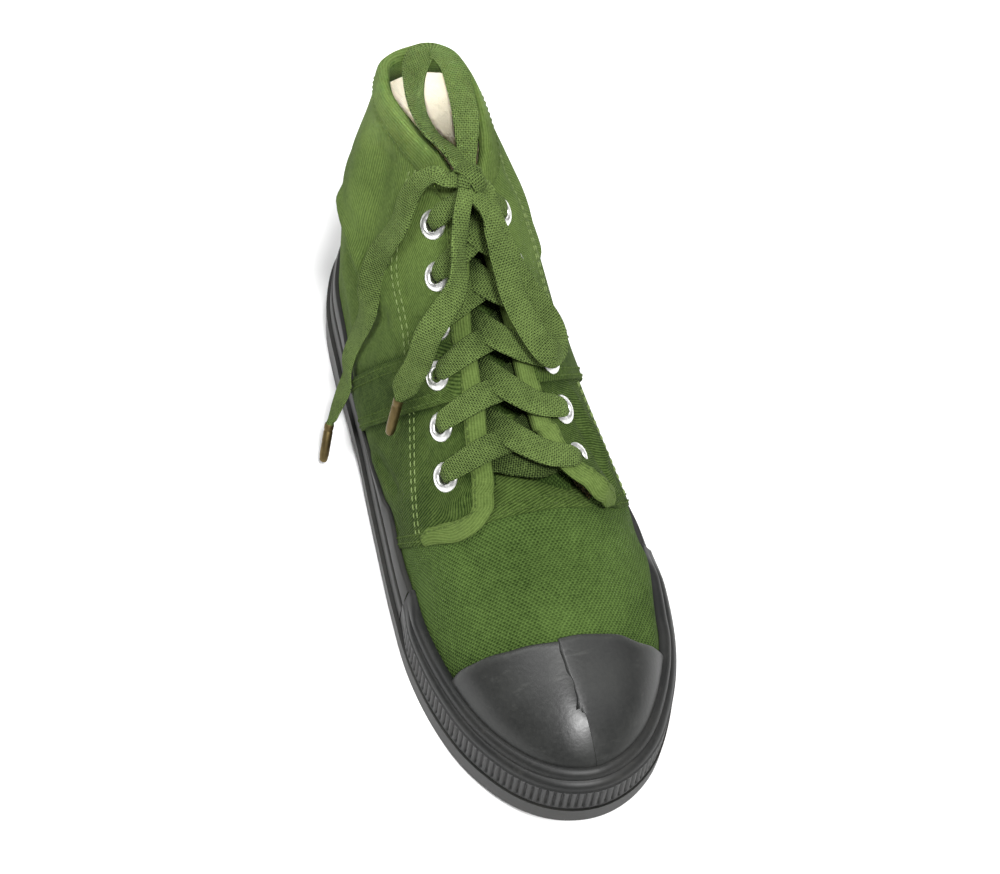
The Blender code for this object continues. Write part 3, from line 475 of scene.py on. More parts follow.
def share_where(u, value, hs, measured):
    """Height shares at which a measure taken along each section reaches a value."""
    u, value = np.broadcast_arrays(np.asarray(u, float), np.asarray(value, float))
    rows = measured(wall(u.reshape(-1, 1), hs))
    found = [np.interp(v, row, hs) for v, row in zip(value.reshape(-1), rows)]
    return np.array(found).reshape(u.shape)


def h_down(u, distance):
    """Height shares of the points this far down their sections from the top."""
    return share_where(u, distance, np.linspace(1, 0, 121), row_runs)


def h_at_height(u, height):
    """Height shares at which the upper stands this high over the outsole."""
    def over(points):
        return np.maximum.accumulate(points[..., 2] - sole_top(points[..., 1]), axis=1)
    return share_where(u, height, np.linspace(0, 1, 121), over)


def side_tree(side):
    us, hs, points = side_grid(side, 220)
    tree = KDTree(len(points))
    for k, p in enumerate(points):
        tree.insert((0, p[1], p[2]), k)
    tree.balance()
    return tree, us, hs


SIDE_TREES = {side: side_tree(side) for side in (1, -1)}


def place(side, y, z):
    """Shares u and h of the points of one side that are seen at y and z from that side."""
    y, z = np.broadcast_arrays(np.asarray(y, float), np.asarray(z, float))
    tree, us, hs = SIDE_TREES[side]
    near = [tree.find((0, a, b))[1] for a, b in zip(y.reshape(-1), z.reshape(-1))]
    u, h = us[near], hs[near]
    for _ in range(5):
        point, along, rise, _ = surface(u, h)
        ey, ez = y.reshape(-1) - point[:, 1], z.reshape(-1) - point[:, 2]
        det = along[:, 1] * rise[:, 2] - rise[:, 1] * along[:, 2]
        det = np.where(np.abs(det) < 400, np.sign(det + 1e-9) * 400, det)
        u += np.clip((ey * rise[:, 2] - ez * rise[:, 1]) / det, -0.02, 0.02)
        h += np.clip((ez * along[:, 1] - ey * along[:, 2]) / det, -0.03, 0.03)
        u = side * np.clip(side * u, 0.1, 1)
        h = np.clip(h, 0, 1)
    return u.reshape(y.shape), h.reshape(y.shape)


# Meshes

class Piece:
    """Collects grids of points into one mesh, with flat coordinates in millimetres and a tone."""

    def __init__(self):
        self.points, self.quads, self.flat, self.tone = [], [], [], []
        self.count = 0

    def grid(self, points, flat=None, tone=0.0, wrap=False, keep=None):
        rows, columns = points.shape[:2]
        index = self.count + np.arange(rows * columns).reshape(rows, columns)
        if wrap:
            index = np.concatenate([index, index[:, :1]], axis=1)
        quads = np.stack([index[:-1, :-1], index[1:, :-1], index[1:, 1:], index[:-1, 1:]], axis=-1)
        self.quads.append(quads[keep] if keep is not None else quads.reshape(-1, 4))
        self.points.append(points.reshape(-1, 3))
        if flat is None:
            flat = measure(points)
        self.flat.append(flat.reshape(-1, 2))
        self.tone.append(np.broadcast_to(tone, (rows, columns)).reshape(-1))
        self.count += rows * columns

    def build(self, name, material, nodes=(), slot=None, merge=None, sharp=None, outward=False):
        mesh = bpy.data.meshes.new(name)
        points = (np.vstack(self.points) + (FRAME_X, 0, 0)) * MM
        quads = np.vstack(self.quads)
        mesh.from_pydata(points.tolist(), [], quads.tolist())
        corners = np.empty(len(mesh.loops), int)
        mesh.loops.foreach_get("vertex_index", corners)
        layer = mesh.uv_layers.new(name="flat")
        layer.data.foreach_set("uv", np.vstack(self.flat)[corners].astype(np.float32).reshape(-1))
        tone = mesh.attributes.new("tone", "FLOAT", "POINT")
        tone.data.foreach_set("value", np.concatenate(self.tone).astype(np.float32))
        if merge or outward:
            bm = bmesh.new()
            bm.from_mesh(mesh)
            if merge:
                bmesh.ops.remove_doubles(bm, verts=bm.verts, dist=merge * MM)
            if outward:
                bmesh.ops.recalc_face_normals(bm, faces=bm.faces)
            bm.to_mesh(mesh)
            bm.free()
        mesh.shade_smooth()
        if sharp:
            mesh.set_sharp_from_angle(angle=math.radians(sharp))
        return show(name, mesh, material, nodes)


def panel(name, points, material, nodes, slot, merge=None, **grid):
    """Piece made of one grid."""
    piece = Piece()
    piece.grid(points, **grid)
    piece.build(name, material, nodes, slot, merge)


def linked(name, data):
    """New object in the scene."""
    made = bpy.data.objects.new(name, data)
    bpy.context.scene.collection.objects.link(made)
    return made


def solid_from(bm, name):
    mesh = bpy.data.meshes.new(name)
    bm.to_mesh(mesh)
    bm.free()
    return linked(name, mesh)


def show(name, mesh, material, nodes=()):
    piece = linked(name, mesh)
    mesh.materials.clear()
    mesh.materials.append(material)
    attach(piece, "root")
    if nodes:
        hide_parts(*nodes)
    return piece


def measure(points):
    """Flat coordinates of a grid: run along its middle column, and along each row."""
    run = running(points[:, points.shape[1] // 2])
    across = row_runs(points)
    return np.stack([np.broadcast_to(run[:, None], across.shape), across], axis=-1)


def smoothed(values, reach):
    """Running mean down each column, with the ends held."""
    size = 2 * reach + 1
    padded = np.concatenate([np.repeat(values[:1], reach, 0), values, np.repeat(values[-1:], reach, 0)])
    return np.stack([np.convolve(column, np.ones(size) / size, "valid") for column in padded.T], axis=1)


def spread(points, step):
    """Polyline resampled at an even step."""
    run = running(points)
    at = np.linspace(0, run[-1], max(2, int(run[-1] / step) + 1))
    return sampled(at, run, points)


def smooth_route(route, steps):
    """Open curve through the route's points."""
    points = np.array(route, float)
    last = len(points) - 1
    dense = []
    for k in range(last):
        p0, p1, p2, p3 = (points[min(max(k + d, 0), last)] for d in (-1, 0, 1, 2))
        for m in range(steps):
            t = m / steps
            bend = (p2 - p0) * t * (1 - t) ** 2 - (p3 - p1) * t * t * (1 - t)
            dense.append(p1 + (p2 - p1) * t * t * (3 - 2 * t) + bend * 0.5)
    return np.array(dense + [points[-1]])


def ribbon(piece, path, across, width, thick, sides=14, tone=0.0):
    """Flat lace with rounded edges along a path, its width lying along across."""
    path, across = np.asarray(path, float), np.asarray(across, float)
    width = np.broadcast_to(width, len(path))[:, None, None]
    thick = np.broadcast_to(thick, len(path))[:, None, None]
    tangent = unit(np.gradient(path, axis=0))
    across = unit(across - tangent * (across * tangent).sum(1, keepdims=True))
    face = np.cross(across, tangent)
    angle = np.arange(sides) / sides * 2 * math.pi
    x = np.sign(np.cos(angle)) * np.abs(np.cos(angle)) ** 0.7
    z = np.sign(np.sin(angle)) * np.abs(np.sin(angle)) ** 0.8
    rings = path[:, None] + across[:, None] * x[:, None] * width / 2 + face[:, None] * z[:, None] * thick / 2
    run = running(path)
    flat = np.stack([np.broadcast_to(run[:, None], rings.shape[:2]), x * width[:, :, 0] / 2], axis=-1)
    ends = [path[:1, None] + 0 * rings[:1], path[-1:, None] + 0 * rings[:1]]
    rings = np.concatenate([ends[0], rings, ends[1]])
    flat = np.concatenate([flat[:1], flat, flat[-1:]])
    tone = np.broadcast_to(tone, len(path))
    tone = np.concatenate([tone[:1], tone, tone[-1:]])[:, None]
    piece.grid(rings, flat, tone, wrap=True)


def turned(piece, profile, centre, axis, segments):
    """Ring turned from (radius, height) points about an axis."""
    axis = unit(np.asarray(axis, float))
    side = unit(np.cross(axis, (0.3, 0.9, 0.2)))
    other = np.cross(axis, side)
    angle = np.arange(segments + 1) / segments * 2 * math.pi
    spokes = np.cos(angle)[:, None] * side + np.sin(angle)[:, None] * other
    profile = np.array(profile, float)
    rings = centre + spokes[:, None] * profile[:, 0, None] + axis * profile[:, 1, None]
    piece.grid(rings[::-1])


# Materials

RUBBER_GRAIN = 0.00005
METAL_GRAIN = 0.00004


class Graph:
    """Short-hand for building one procedural material."""

    def __init__(self, name):
        self.material = bpy.data.materials.new(name)
        self.material.use_nodes = True
        self.tree = self.material.node_tree
        self.shader = self.tree.nodes["Principled BSDF"]

    def put(self, socket, value):
        if isinstance(value, bpy.types.NodeSocket):
            self.tree.links.new(value, socket)
        else:
            socket.default_value = value

    def node(self, kind, out=0, inputs=(), **settings):
        node = self.tree.nodes.new(kind)
        for key, value in settings.items():
            setattr(node, key, value)
        for key, value in dict(inputs).items():
            self.put(node.inputs[key], value)
        return node.outputs[out]

    def math(self, operation, *values, clamp=False):
        return self.node("ShaderNodeMath", 0, enumerate(values), operation=operation, use_clamp=clamp)

    def noise(self, scale, detail=3.0, vector=None):
        inputs = {"Scale": scale, "Detail": detail}
        inputs["Vector"] = vector or self.node("ShaderNodeTexCoord", "Object")
        return self.node("ShaderNodeTexNoise", "Fac", inputs)

    def mix(self, factor, low, high):
        inputs = {0: factor, 6: (*low, 1), 7: (*high, 1)}
        return self.node("ShaderNodeMix", 2, inputs, data_type="RGBA")

    def wave(self, value, period):
        return self.math("SINE", self.math("MULTIPLY", value, 2 * math.pi / period))

    def set(self, **values):
        for key, value in values.items():
            self.put(self.shader.inputs[key.replace("_", " ")], value)

    def bump(self, height, distance):
        inputs = {"Height": height, "Distance": distance, "Strength": 1.0}
        self.put(self.shader.inputs["Normal"], self.node("ShaderNodeBump", 0, inputs))


def cloth(name, dark, light, weave, pitch, depth, weave_shading=0.42, sheen=0.04, solid=False):
    """Woven cotton: thread relief from flat coordinates (or a solid's own), patchy colour, and a given tone.
    """
    g = Graph(name)
    if solid:
        where = g.node("ShaderNodeTexCoord", "Object")
        inputs = {0: where, 1: (1 / MM, 1 / MM, 1 / MM)}
        flat = g.node("ShaderNodeVectorMath", 0, inputs, operation="MULTIPLY")
    else:
        flat = g.node("ShaderNodeUVMap", uv_map="flat")
    parts = g.node("ShaderNodeSeparateXYZ", 0, {0: flat}).node
    broad = g.noise(38.0, 3.0)
    fine = g.noise(900.0, 2.0)
    uneven = g.noise(260.0, 2.0)
    x = g.math("MULTIPLY_ADD", uneven, 0.9 * pitch, parts.outputs[0])
    y = g.math("MULTIPLY_ADD", uneven, -0.9 * pitch, parts.outputs[1])
    if weave == "plain":
        thread = g.math("MULTIPLY", g.wave(x, 2 * pitch), g.wave(y, 2 * pitch))
        thread = g.math("MULTIPLY_ADD", g.wave(y, pitch), 0.45, thread)
    elif weave == "twill":
        diagonal = g.wave(g.math("MULTIPLY_ADD", y, 0.35, x), 2.0 * pitch)
        thread = g.math("MULTIPLY_ADD", g.wave(y, pitch), 0.3, g.math("MULTIPLY", diagonal, 0.7))
    elif weave == "ribbed":
        thread = g.math("MULTIPLY", g.wave(y, 2 * pitch), 0.65)
        thread = g.math("MULTIPLY_ADD", g.wave(x, pitch), 0.35, thread)
    else:
        slope = g.math("MULTIPLY", y, 1.35)
        one = g.wave(g.math("ADD", x, slope), 2 * pitch)
        two = g.wave(g.math("SUBTRACT", x, slope), 2 * pitch)
        thread = g.math("MULTIPLY_ADD", g.math("MULTIPLY", one, two), 0.75, g.math("MULTIPLY", one, 0.25))
    height = g.math("MULTIPLY_ADD", thread, 0.5, 0.5)
    tone = g.node("ShaderNodeAttribute", "Fac", attribute_name="tone")
    # The colour follows the weave's height: lighter on the thread tops where they wear, painted shade in the
    # hollows between threads.
    shade = g.math("MULTIPLY_ADD", height, weave_shading, 0.30 - 0.5 * weave_shading)
    shade = g.math("MULTIPLY_ADD", broad, 0.70, g.math("SUBTRACT", shade, 0.35))
    shade = g.math("MULTIPLY_ADD", fine, 0.55, g.math("SUBTRACT", shade, 0.27))
    shade = g.math("ADD", g.math("MULTIPLY_ADD", uneven, 0.3, shade), tone, clamp=True)
    g.set(Base_Color=g.mix(shade, dark, light), Roughness=0.95, Specular_IOR_Level=0.1,
          Sheen_Weight=sheen, Sheen_Roughness=0.5, Sheen_Tint=(*light, 1))
    g.bump(g.math("MULTIPLY_ADD", fine, 0.35, height), depth)
    return g.material


def rubber(name, dark, dusty, roughness, dust):
    """Moulded rubber with a dusty bloom, scuffs and a fine grain."""
    g = Graph(name)
    broad = g.noise(45.0, 4.0)
    fine = g.noise(700.0, 3.0)
    where = g.node("ShaderNodeTexCoord", "Object")
    inputs = {"Vector": where, "Rotation": (0.3, 0.2, 0.5), "Scale": (0.12, 1.0, 1.0)}
    long = g.node("ShaderNodeMapping", 0, inputs)
    scuff = g.noise(520.0, 4.0, long)
    scuff = g.math("MULTIPLY", g.math("SUBTRACT", scuff, 0.60, clamp=True), 5.0, clamp=True)
    tone = g.node("ShaderNodeAttribute", "Fac", attribute_name="tone")
    bloom = g.math("MULTIPLY_ADD", broad, 1.6, -0.55)
    bloom = g.math("MULTIPLY", g.math("MULTIPLY_ADD", fine, 0.6, bloom), dust)
    bloom = g.math("MULTIPLY_ADD", scuff, 0.25, bloom)
    bloom = g.math("ADD", bloom, tone, clamp=True)
    g.set(Base_Color=g.mix(bloom, dark, dusty), Specular_IOR_Level=0.46)
    g.set(Roughness=g.math("MULTIPLY_ADD", bloom, 0.35, roughness, clamp=True))
    g.bump(g.math("MULTIPLY_ADD", scuff, 0.3, fine), RUBBER_GRAIN)
    return g.material


def metal(name, low, high, roughness):
    """Pressed metal with fine scratches and dull patches."""
    g = Graph(name)
    patch = g.noise(260.0, 3.0)
    fine = g.noise(1500.0, 2.0)
    g.set(Base_Color=g.mix(patch, low, high), Metallic=1.0)
    g.set(Roughness=g.math("MULTIPLY_ADD", fine, 0.25, roughness))
    g.bump(fine, METAL_GRAIN)
    return g.material


CANVAS = cloth("vamp_canvas", (0.013, 0.028, 0.004), (0.108, 0.178, 0.043), "plain", 0.80, 0.00040, 0.50)
TWILL = cloth("quarter_twill", (0.012, 0.027, 0.0035), (0.135, 0.205, 0.050), "twill", 0.52, 0.00028, 0.58)
TAPE = cloth("binding_tape", (0.030, 0.055, 0.008), (0.145, 0.210, 0.056), "ribbed", 0.55, 0.00024, 0.40)
LACE = cloth("lace_braid", (0.006, 0.014, 0.002), (0.190, 0.278, 0.078), "braid", 0.85, 0.00090, 1.15)
LINING = cloth("lining_cotton", (0.80, 0.71, 0.50), (0.97, 0.92, 0.77), "plain", 0.60, 0.00020, 0.4, 0.05)
INSOLE = cloth("insole_cotton", (0.70, 0.64, 0.48), (0.93, 0.89, 0.76), "plain", 0.60, 0.00014, 0.3, 0.05,
               solid=True)
THREAD = cloth("pale_thread", (0.11, 0.16, 0.05), (0.24, 0.31, 0.12), "twill", 0.40, 0.00010)
DARK_THREAD = cloth("green_thread", (0.026, 0.046, 0.008), (0.115, 0.170, 0.048), "twill", 0.40, 0.00010)
CAP_RUBBER = rubber("cap_rubber", (0.0065, 0.0070, 0.0070), (0.056, 0.058, 0.053), 0.33, 0.40)
SOLE_RUBBER = rubber("sole_rubber", (0.0045, 0.0050, 0.0048), (0.050, 0.048, 0.041), 0.50, 0.34)
PALE_METAL = metal("eyelet_metal", (0.90, 0.90, 0.88), (0.98, 0.98, 0.96), 0.26)
BRASS = metal("tip_brass", (0.075, 0.055, 0.022), (0.20, 0.15, 0.065), 0.38)


# Camera

CAMERA_ANGLES = (-14.0, 54.5, -0.2)
CAMERA_DISTANCE = 721.4
CAMERA_RIGHT = -70.1
CAMERA_UP = 27.0
FOCAL_PIXELS = 1831
TURN_PIXELS = 190
IMAGE_WIDTH = 1000
SENSOR = 36


def build_camera():
    """At the photograph's angle, turned so that the shoe is in the middle of the frame."""
    azimuth, elevation, roll = (math.radians(v) for v in CAMERA_ANGLES)
    level = math.cos(elevation)
    back = np.array([math.sin(azimuth) * level, -math.cos(azimuth) * level, math.sin(elevation)])
    right = unit(np.cross((0, 0, 1), back))
    up = np.cross(back, right)
    right, up = math.cos(roll) * right + math.sin(roll) * up, math.cos(roll) * up - math.sin(roll) * right
    position = back * CAMERA_DISTANCE + right * CAMERA_RIGHT + up * CAMERA_UP
    turn = math.atan(TURN_PIXELS / FOCAL_PIXELS)
    cos, sin = math.cos(turn), math.sin(turn)
    right, back = cos * right + sin * back, cos * back - sin * right
    data = bpy.data.cameras.new("camera")
    data.sensor_width = SENSOR
    data.sensor_fit = "HORIZONTAL"
    data.lens = FOCAL_PIXELS * SENSOR / IMAGE_WIDTH
    data.clip_start = 0.01
    camera = linked("camera", data)
    facing = Matrix([[right[k], up[k], back[k]] for k in range(3)]).to_4x4()
    camera.matrix_world = Matrix.Translation(Vector((position + (FRAME_X, 0, 0)) * MM)) @ facing
    bpy.context.scene.camera = camera


# Laces

def overhang(side, y):
    """How far the bound edge reaches into the throat's lower half: more on the inner side."""
    return np.where(np.asarray(side) < 0, OVERHANG, OUTER_OVERHANG) * (1 - ramp(y, -18, 14))


def throat_edge(side, y, lift):
    """Point over the throat's edge, and the normal there."""
    point, _, rise, normal = surface(side * u_at_top_y(y), 0.997)
    return point + normal * lift + unit(rise) * overhang(side, y), normal


def eyelet(side, k):
    """Centre of an eyelet, its normal, and the direction towards the throat's edge."""
    u = side * u_at_top_y(EYELET_YS[k])
    point, _, rise, normal = surface(u, h_down(u, EYELET_BACK))
    return point + normal * crease(point[None])[0], normal, unit(rise)


EYELETS = {side: [eyelet(side, k) for k in range(6)] for side in (1, -1)}
EYELET_CENTRES = np.array([centre for side in (1, -1) for centre, _, _ in EYELETS[side]])


def off_eyelets(points, reach):
    """Mask of a grid's faces that lie farther than a reach from every eyelet's centre."""
    middle = (points[:-1, :-1] + points[1:, :-1] + points[1:, 1:] + points[:-1, 1:]) / 4
    far = np.linalg.norm(middle[:, :, None] - EYELET_CENTRES, axis=-1).min(axis=-1)
    return far > reach


STRAND_STEPS = 14


def strand(piece, points, across, widths, thicks, painted_shading=(0.0,)):
    """Lace through a few points, gathered where it goes through an eyelet, with painted light and shade along
    it where given.
    """
    path = smooth_route(points, STRAND_STEPS)
    at = np.linspace(0, len(points) - 1, len(path))
    keys = np.arange(len(points))
    turn = sampled(at, keys, np.array(across))
    tone = np.interp(at, keys[:len(painted_shading)], painted_shading)
    ribbon(piece, path, turn, np.interp(at, keys, widths), np.interp(at, keys, thicks), tone=tone)


def finish_lace(piece, name, node):
    return piece.build(name, LACE, [node], "green_lace", outward=True)


# Widths and thicknesses of a strand from its eyelet to the throat's edge, across the throat, and to the knot.
START_WIDTHS = [4.6, 4.6, 5.6, 8.0]
START_THICKS = [3.0, 3.0, 2.6, 1.9]
CROSS_WIDTHS = [9.3, 9.5, 9.2, 7.0, 5.0]
CROSS_THICKS = [1.6, 1.5, 1.5, 1.6, 2.0]
KNOT_WIDTHS = [7.0, 5.0]
KNOT_THICKS = [2.2, 2.6]


def gathered(side, k):
    """The start of a strand: up through its eyelet and over towards the throat."""
    centre, normal, inward = EYELETS[side][k]
    points = [centre - normal * 5, centre + normal * 0.5, centre + normal * 3.2 + inward * 1.8,
              centre + normal * 4.1 + inward * 6.0]
    return points, [np.cross(normal, inward)] * 4


def build_lacing():
    """Crossed strands up the throat, the bar under its lower end, and the strands to the knot."""
    for k in range(5, 0, -1):
        piece = Piece()
        for side in (-1, 1):
            points, across = gathered(side, k)
            y = EYELET_YS[k]
            own, own_normal = throat_edge(side, y + EYELET_STEP * 0.22, 3.6)
            left, _ = throat_edge(side, y + EYELET_STEP * 0.5, 2.6)
            right, _ = throat_edge(-side, y + EYELET_STEP * 0.5, 2.6)
            up = unit(own_normal + throat_edge(-side, y, 0)[1])
            middle = (left + right) / 2 + up * (1.6 if side > 0 else -1.0)
            dive, far_normal = throat_edge(-side, y + EYELET_STEP * 0.82, -1.6 if side > 0 else -4.2)
            end, end_normal, end_in = EYELETS[-side][k - 1]
            under = end - end_normal * 5.0 + end_in * 5.0
            points += [own, middle, dive, under, end - end_normal * 5.5]
            run = unit(dive - own)
            across += [np.cross(own_normal, run), np.cross(up, run), np.cross(far_normal, run),
                       np.cross(end_normal, run), np.cross(end_normal, run)]
            flip = np.sign((across[0] * across[4]).sum()) or 1.0
            across = [a * (1 if i < 4 else flip) for i, a in enumerate(across)]
            # Painted light where a strand rises over its own edge; painted shade on the lower strand at the
            # crossing and where each strand dives under the far edge.
            painted_shading = [0.0, 0.0, 0.05, 0.12, 0.12, 0.05 if side > 0 else -0.25, -0.40, -0.60, -0.60]
            strand(piece, points, across, START_WIDTHS + CROSS_WIDTHS, START_THICKS + CROSS_THICKS, painted_shading)
        finish_lace(piece, f"lace_pair_{6 - k}", f"lace_cross_{6 - k}")
    piece = Piece()
    ends = [EYELETS[side][5] for side in (1, -1)]
    edges = [throat_edge(side, EYELET_YS[5], -2.4)[0] for side in (1, -1)]
    up = unit(ends[0][1] + ends[1][1])
    points = [ends[0][0] - ends[0][1] * 5, edges[0], (edges[0] + edges[1]) / 2 + up * 1.2, edges[1],
              ends[1][0] - ends[1][1] * 5]
    run = unit(edges[1] - edges[0])
    # Painted shade on the bar, which lies under the throat's edges.
    strand(piece, points, [np.cross(up, run)] * 5, [6, 9.3, 9.5, 9.3, 6], [2, 1.6, 1.5, 1.6, 2], [-0.2])
    finish_lace(piece, "lace_lower_bar", "lace_bar")
    piece = Piece()
    for side in (-1, 1):
        points, across = gathered(side, 0)
        knot = np.array(KNOT) + (side * 2.0, -1.5, -1.5)
        points += [throat_edge(side, 44.5, 5.2)[0], knot]
        across += [across[0], across[0]]
        strand(piece, points, across, START_WIDTHS + KNOT_WIDTHS, START_THICKS + KNOT_THICKS)
    finish_lace(piece, "lace_to_knot", "lace_top")


def build_bow():
    """Knot, standing loop, side loop and two ends with metal tips."""
    centre = np.array(KNOT)
    piece = Piece()
    angle = np.linspace(0, 2 * math.pi, 49)
    for tilt, long, high, width in ((0.45, 5.4, 4.0, 5.8), (-0.75, 4.6, 3.4, 5.0)):
        axis = np.array([math.cos(tilt), math.sin(tilt), 0.12])
        side = unit(np.cross((0, 0, 1), axis))
        up = np.cross(axis, side)
        path = centre + np.cos(angle)[:, None] * side * long + np.sin(angle)[:, None] * up * high
        ribbon(piece, path, np.broadcast_to(axis, path.shape), width, 2.2)
    turn = np.linspace(-1, 1, 25)[:, None]
    core = centre + turn * np.array([4.4, 1.4, 0.5])
    ribbon(piece, core, np.broadcast_to((0.2, 1.0, 0.0), core.shape), 7.4 * np.sqrt(1.02 - turn[:, 0] ** 2),
           5.8 * np.sqrt(1.02 - turn[:, 0] ** 2), sides=20)
    knot = finish_lace(piece, "bow_knot", "lace_knot")
    tips = {name: build_aglet(name, *ends) for name, ends in AGLETS.items()}
    for name, route in LACE_ROUTES.items():
        loop = "loop" in name
        ends = [centre * 0.75 + np.array(route[k]) * 0.25 for k in (0, -1)]
        path = smooth_route([ends[0], *route, *(ends[1:] if loop else [])], 10)
        run = running(path)
        if name == "lace_loop_side":
            path[:, 0] -= LOOP_PULL * ramp(run, 2, 12) * ramp(path[:, 2], 100, 122)
            run = running(path)
        out = unit(path - np.array(LACE_HUB))
        across = np.cross(np.gradient(path, axis=0), out)
        if not loop:
            waves = WAVES * np.sin(run / WAVE_LENGTH * 2 * math.pi)
            waves *= ramp(run, 14, 40) * ramp(run[-1] - run, 8, 40)
            path = clear_of_cloth(path + unit(across) * waves[:, None])
            run = running(path)
        from_knot = np.minimum(run, run[-1] - run) if loop else run
        flat = ramp(from_knot, *(0, 26) if name == "lace_loop_up" else (4, 44))
        width = LACE_NECK + (LACE_WIDTH - LACE_NECK) * flat
        thick = NECK_THICK + (LACE_THICK - NECK_THICK) * flat
        twists = (turn * np.exp(-((run - at) / long) ** 2) for at, long, turn in TWISTS[name])
        angle = sum(twists, 0 * run)[:, None]
        across = unit(across)
        across = across * np.cos(angle) + np.cross(across, unit(np.gradient(path, axis=0))) * np.sin(angle)
        if not loop:
            close = 1 - ramp(run[-1] - run, 0, 7)
            width = width * (1 - close) + 3.2 * close
            thick = thick * (1 - close) + 3.0 * close
        piece = Piece()
        shade = TWIST_SHADE * angle[:, 0] if name == "lace_loop_up" else 0.0
        ribbon(piece, path, across, width, thick, tone=BOW_TONE - shade)
        lace = finish_lace(piece, "bow_" + name[5:], name)
        points = [tuple(p) for p in (path + (FRAME_X, 0, 0)) * MM]
        points = points[::3] + (points[-1:] if (len(points) - 1) % 3 else [])


def clear_of_cloth(path):
    """A hanging lace's path, moved outwards where the inner side's cloth would cover it."""
    u, h = place(-1, path[:, 1], path[:, 2])
    cloth_x = skin(u, h, QUARTER_LIFT + BAND_RISE)[:, 0] - 1.1
    beside = 1 - ramp(path[:, 2], 90, 112)
    moved = path.copy()
    moved[:, 0] += np.minimum(cloth_x - path[:, 0], 0) * beside
    return moved


def build_aglet(name, start, end):
    """Crimped metal tip."""
    start, end = np.array(start, float), np.array(end, float)
    axis = end - start
    size = np.linalg.norm(axis)
    profile = [(0.2, -0.6), (1.75, -0.6), (1.9, 0.0), (1.9, 1.6), (1.72, 2.0), (1.72, 2.5), (1.9, 2.9),
               (1.85, size - 3), (1.6, size - 0.8), (1.2, size - 0.1), (0.2, size)]
    piece = Piece()
    turned(piece, profile, start, axis, 20)
    return piece.build("tip_" + name[6:], BRASS, [name], "brass_tip", sharp=50)


def build_eyelets():
    """Rolled metal rings."""
    seat = QUARTER_LIFT + 0.1
    profile = [(3.0, -3.0), (2.7, -3.2), (2.6, -2.6), (2.6, seat + 0.3), (2.75, seat + 0.8),
               (3.3, seat + 1.1), (4.1, seat + 1.1), (4.9, seat + 0.75), (5.4, seat + 0.25),
               (5.5, seat - 0.1), (5.2, seat - 0.3), (3.0, seat - 0.3)]
    for side, word in SIDES:
        for k, (centre, normal, _) in enumerate(EYELETS[side]):
            rise = BAND_RISE if k == 3 else 0.0
            piece = Piece()
            turned(piece, [(r, z + (rise if z > 0 else 0)) for r, z in profile], centre, normal, 36)
            piece.build(f"ring_{word}_{k + 1}", PALE_METAL, [f"eyelet_{word}_{k + 1}"], "pale_metal")


# Upper

def flap_curve(side):
    """Front edge of a quarter as shares u and h, from the throat down to the sole."""
    curve = np.stack(locate(side, spread(smooth_route(FLAP_LINES[side], 12), 0.6)), axis=1)
    curve[0, 1], curve[-1, 1] = 1.0, 0.0
    curve = smoothed(curve, 5)
    curve[:, 1] = np.minimum.accumulate(curve[:, 1]) - np.arange(len(curve)) * 1e-6
    curve[0, 1], curve[-1, 1] = 1.0, 0.0
    return curve


FLAPS = {side: flap_curve(side) for side in (1, -1)}


def cloth_lift(side, u, h):
    """How far a quarter's face stands off the upper: more over the facing, most at the flap's tip."""
    curve = FLAPS[side]
    front = np.interp(h, curve[::-1, 1], np.abs(curve[::-1, 0]))
    behind = (np.abs(u) - front) * HALF_LENGTH
    tall = np.clip((1 - h) * WALL_RUN, 0, None)
    lift = LOW_LIFT + (QUARTER_LIFT - LOW_LIFT) * (1 - ramp(tall, 26, 40))
    return lift + FLAP_RISE[side] * (1 - ramp(behind, 0, 16)) * np.exp(-((h - 0.74) / 0.15) ** 2)


def build_vamp():
    """Coarse canvas from the toe to the throat, under the quarters' flaps."""
    us = np.linspace(-VAMP_SHARE, VAMP_SHARE, 331)
    hs = np.linspace(0, 1, 76)
    u, h = np.meshgrid(us, hs, indexing="ij")
    points = skin(u, h, 0.0)
    tone = -0.10 * np.exp(-((np.abs(u) - TOE_CAP_REAR) / 0.012) ** 2) + 0.04 * ramp(h, 0.5, 1)
    behind = (np.abs(u) > u_at_top_y(HEM_Y + 2)) & (h > HEM_LOW + 0.02)
    keep = off_eyelets(points, HOLE) & ~behind[:-1, :-1]
    across = row_runs(points)
    flat = np.stack([np.sign(u) * (across[:, -1:] - across), points[..., 1]], axis=-1)
    panel("vamp", points, CANVAS, ["upper"], "green_canvas", merge=0.03, flat=flat, tone=tone, keep=keep)


def build_tongue():
    """Canvas tongue under the throat."""
    drop = WALL + 2.6
    rows = []
    t = np.linspace(-1, 1, 41)[:, None]
    for y in np.linspace(TONGUE_FRONT, TONGUE_REAR, 70):
        u = u_at_top_y(y)
        reach = 19 + 3 * (y - TONGUE_FRONT) / (TONGUE_REAR - TONGUE_FRONT)
        half = section("half", u)
        h = h_down(u, reach - half * 0.5)
        sides = [wall(s * u, h) - surface(s * u, h)[3] * drop for s in (1, -1)]
        crown = (wall(u, 1.0) + wall(-u, 1.0)) / 2
        slope = unit(surface(u, 0.999)[3] + surface(-u, 0.999)[3])
        middle = crown - slope * (drop + 0.4)
        bend = (sides[0] + sides[1]) / 2
        line = sides[0] + (sides[1] - sides[0]) * (t + 1) / 2
        line = line + (middle - bend) * (1 - t * t) - slope * 0.8 * (1 - t * t) ** 2
        rows.append(line)
    points = np.array(rows)
    under = points - (0, -0.8, 1.6)
    piece = Piece()
    # Both faces of the tongue carry painted shade.
    piece.grid(points, tone=TONGUE_SHADE)
    piece.grid(under[:, ::-1], tone=TONGUE_SHADE)
    piece.build("tongue_cloth", CANVAS, ["tongue"], "green_canvas", outward=True)


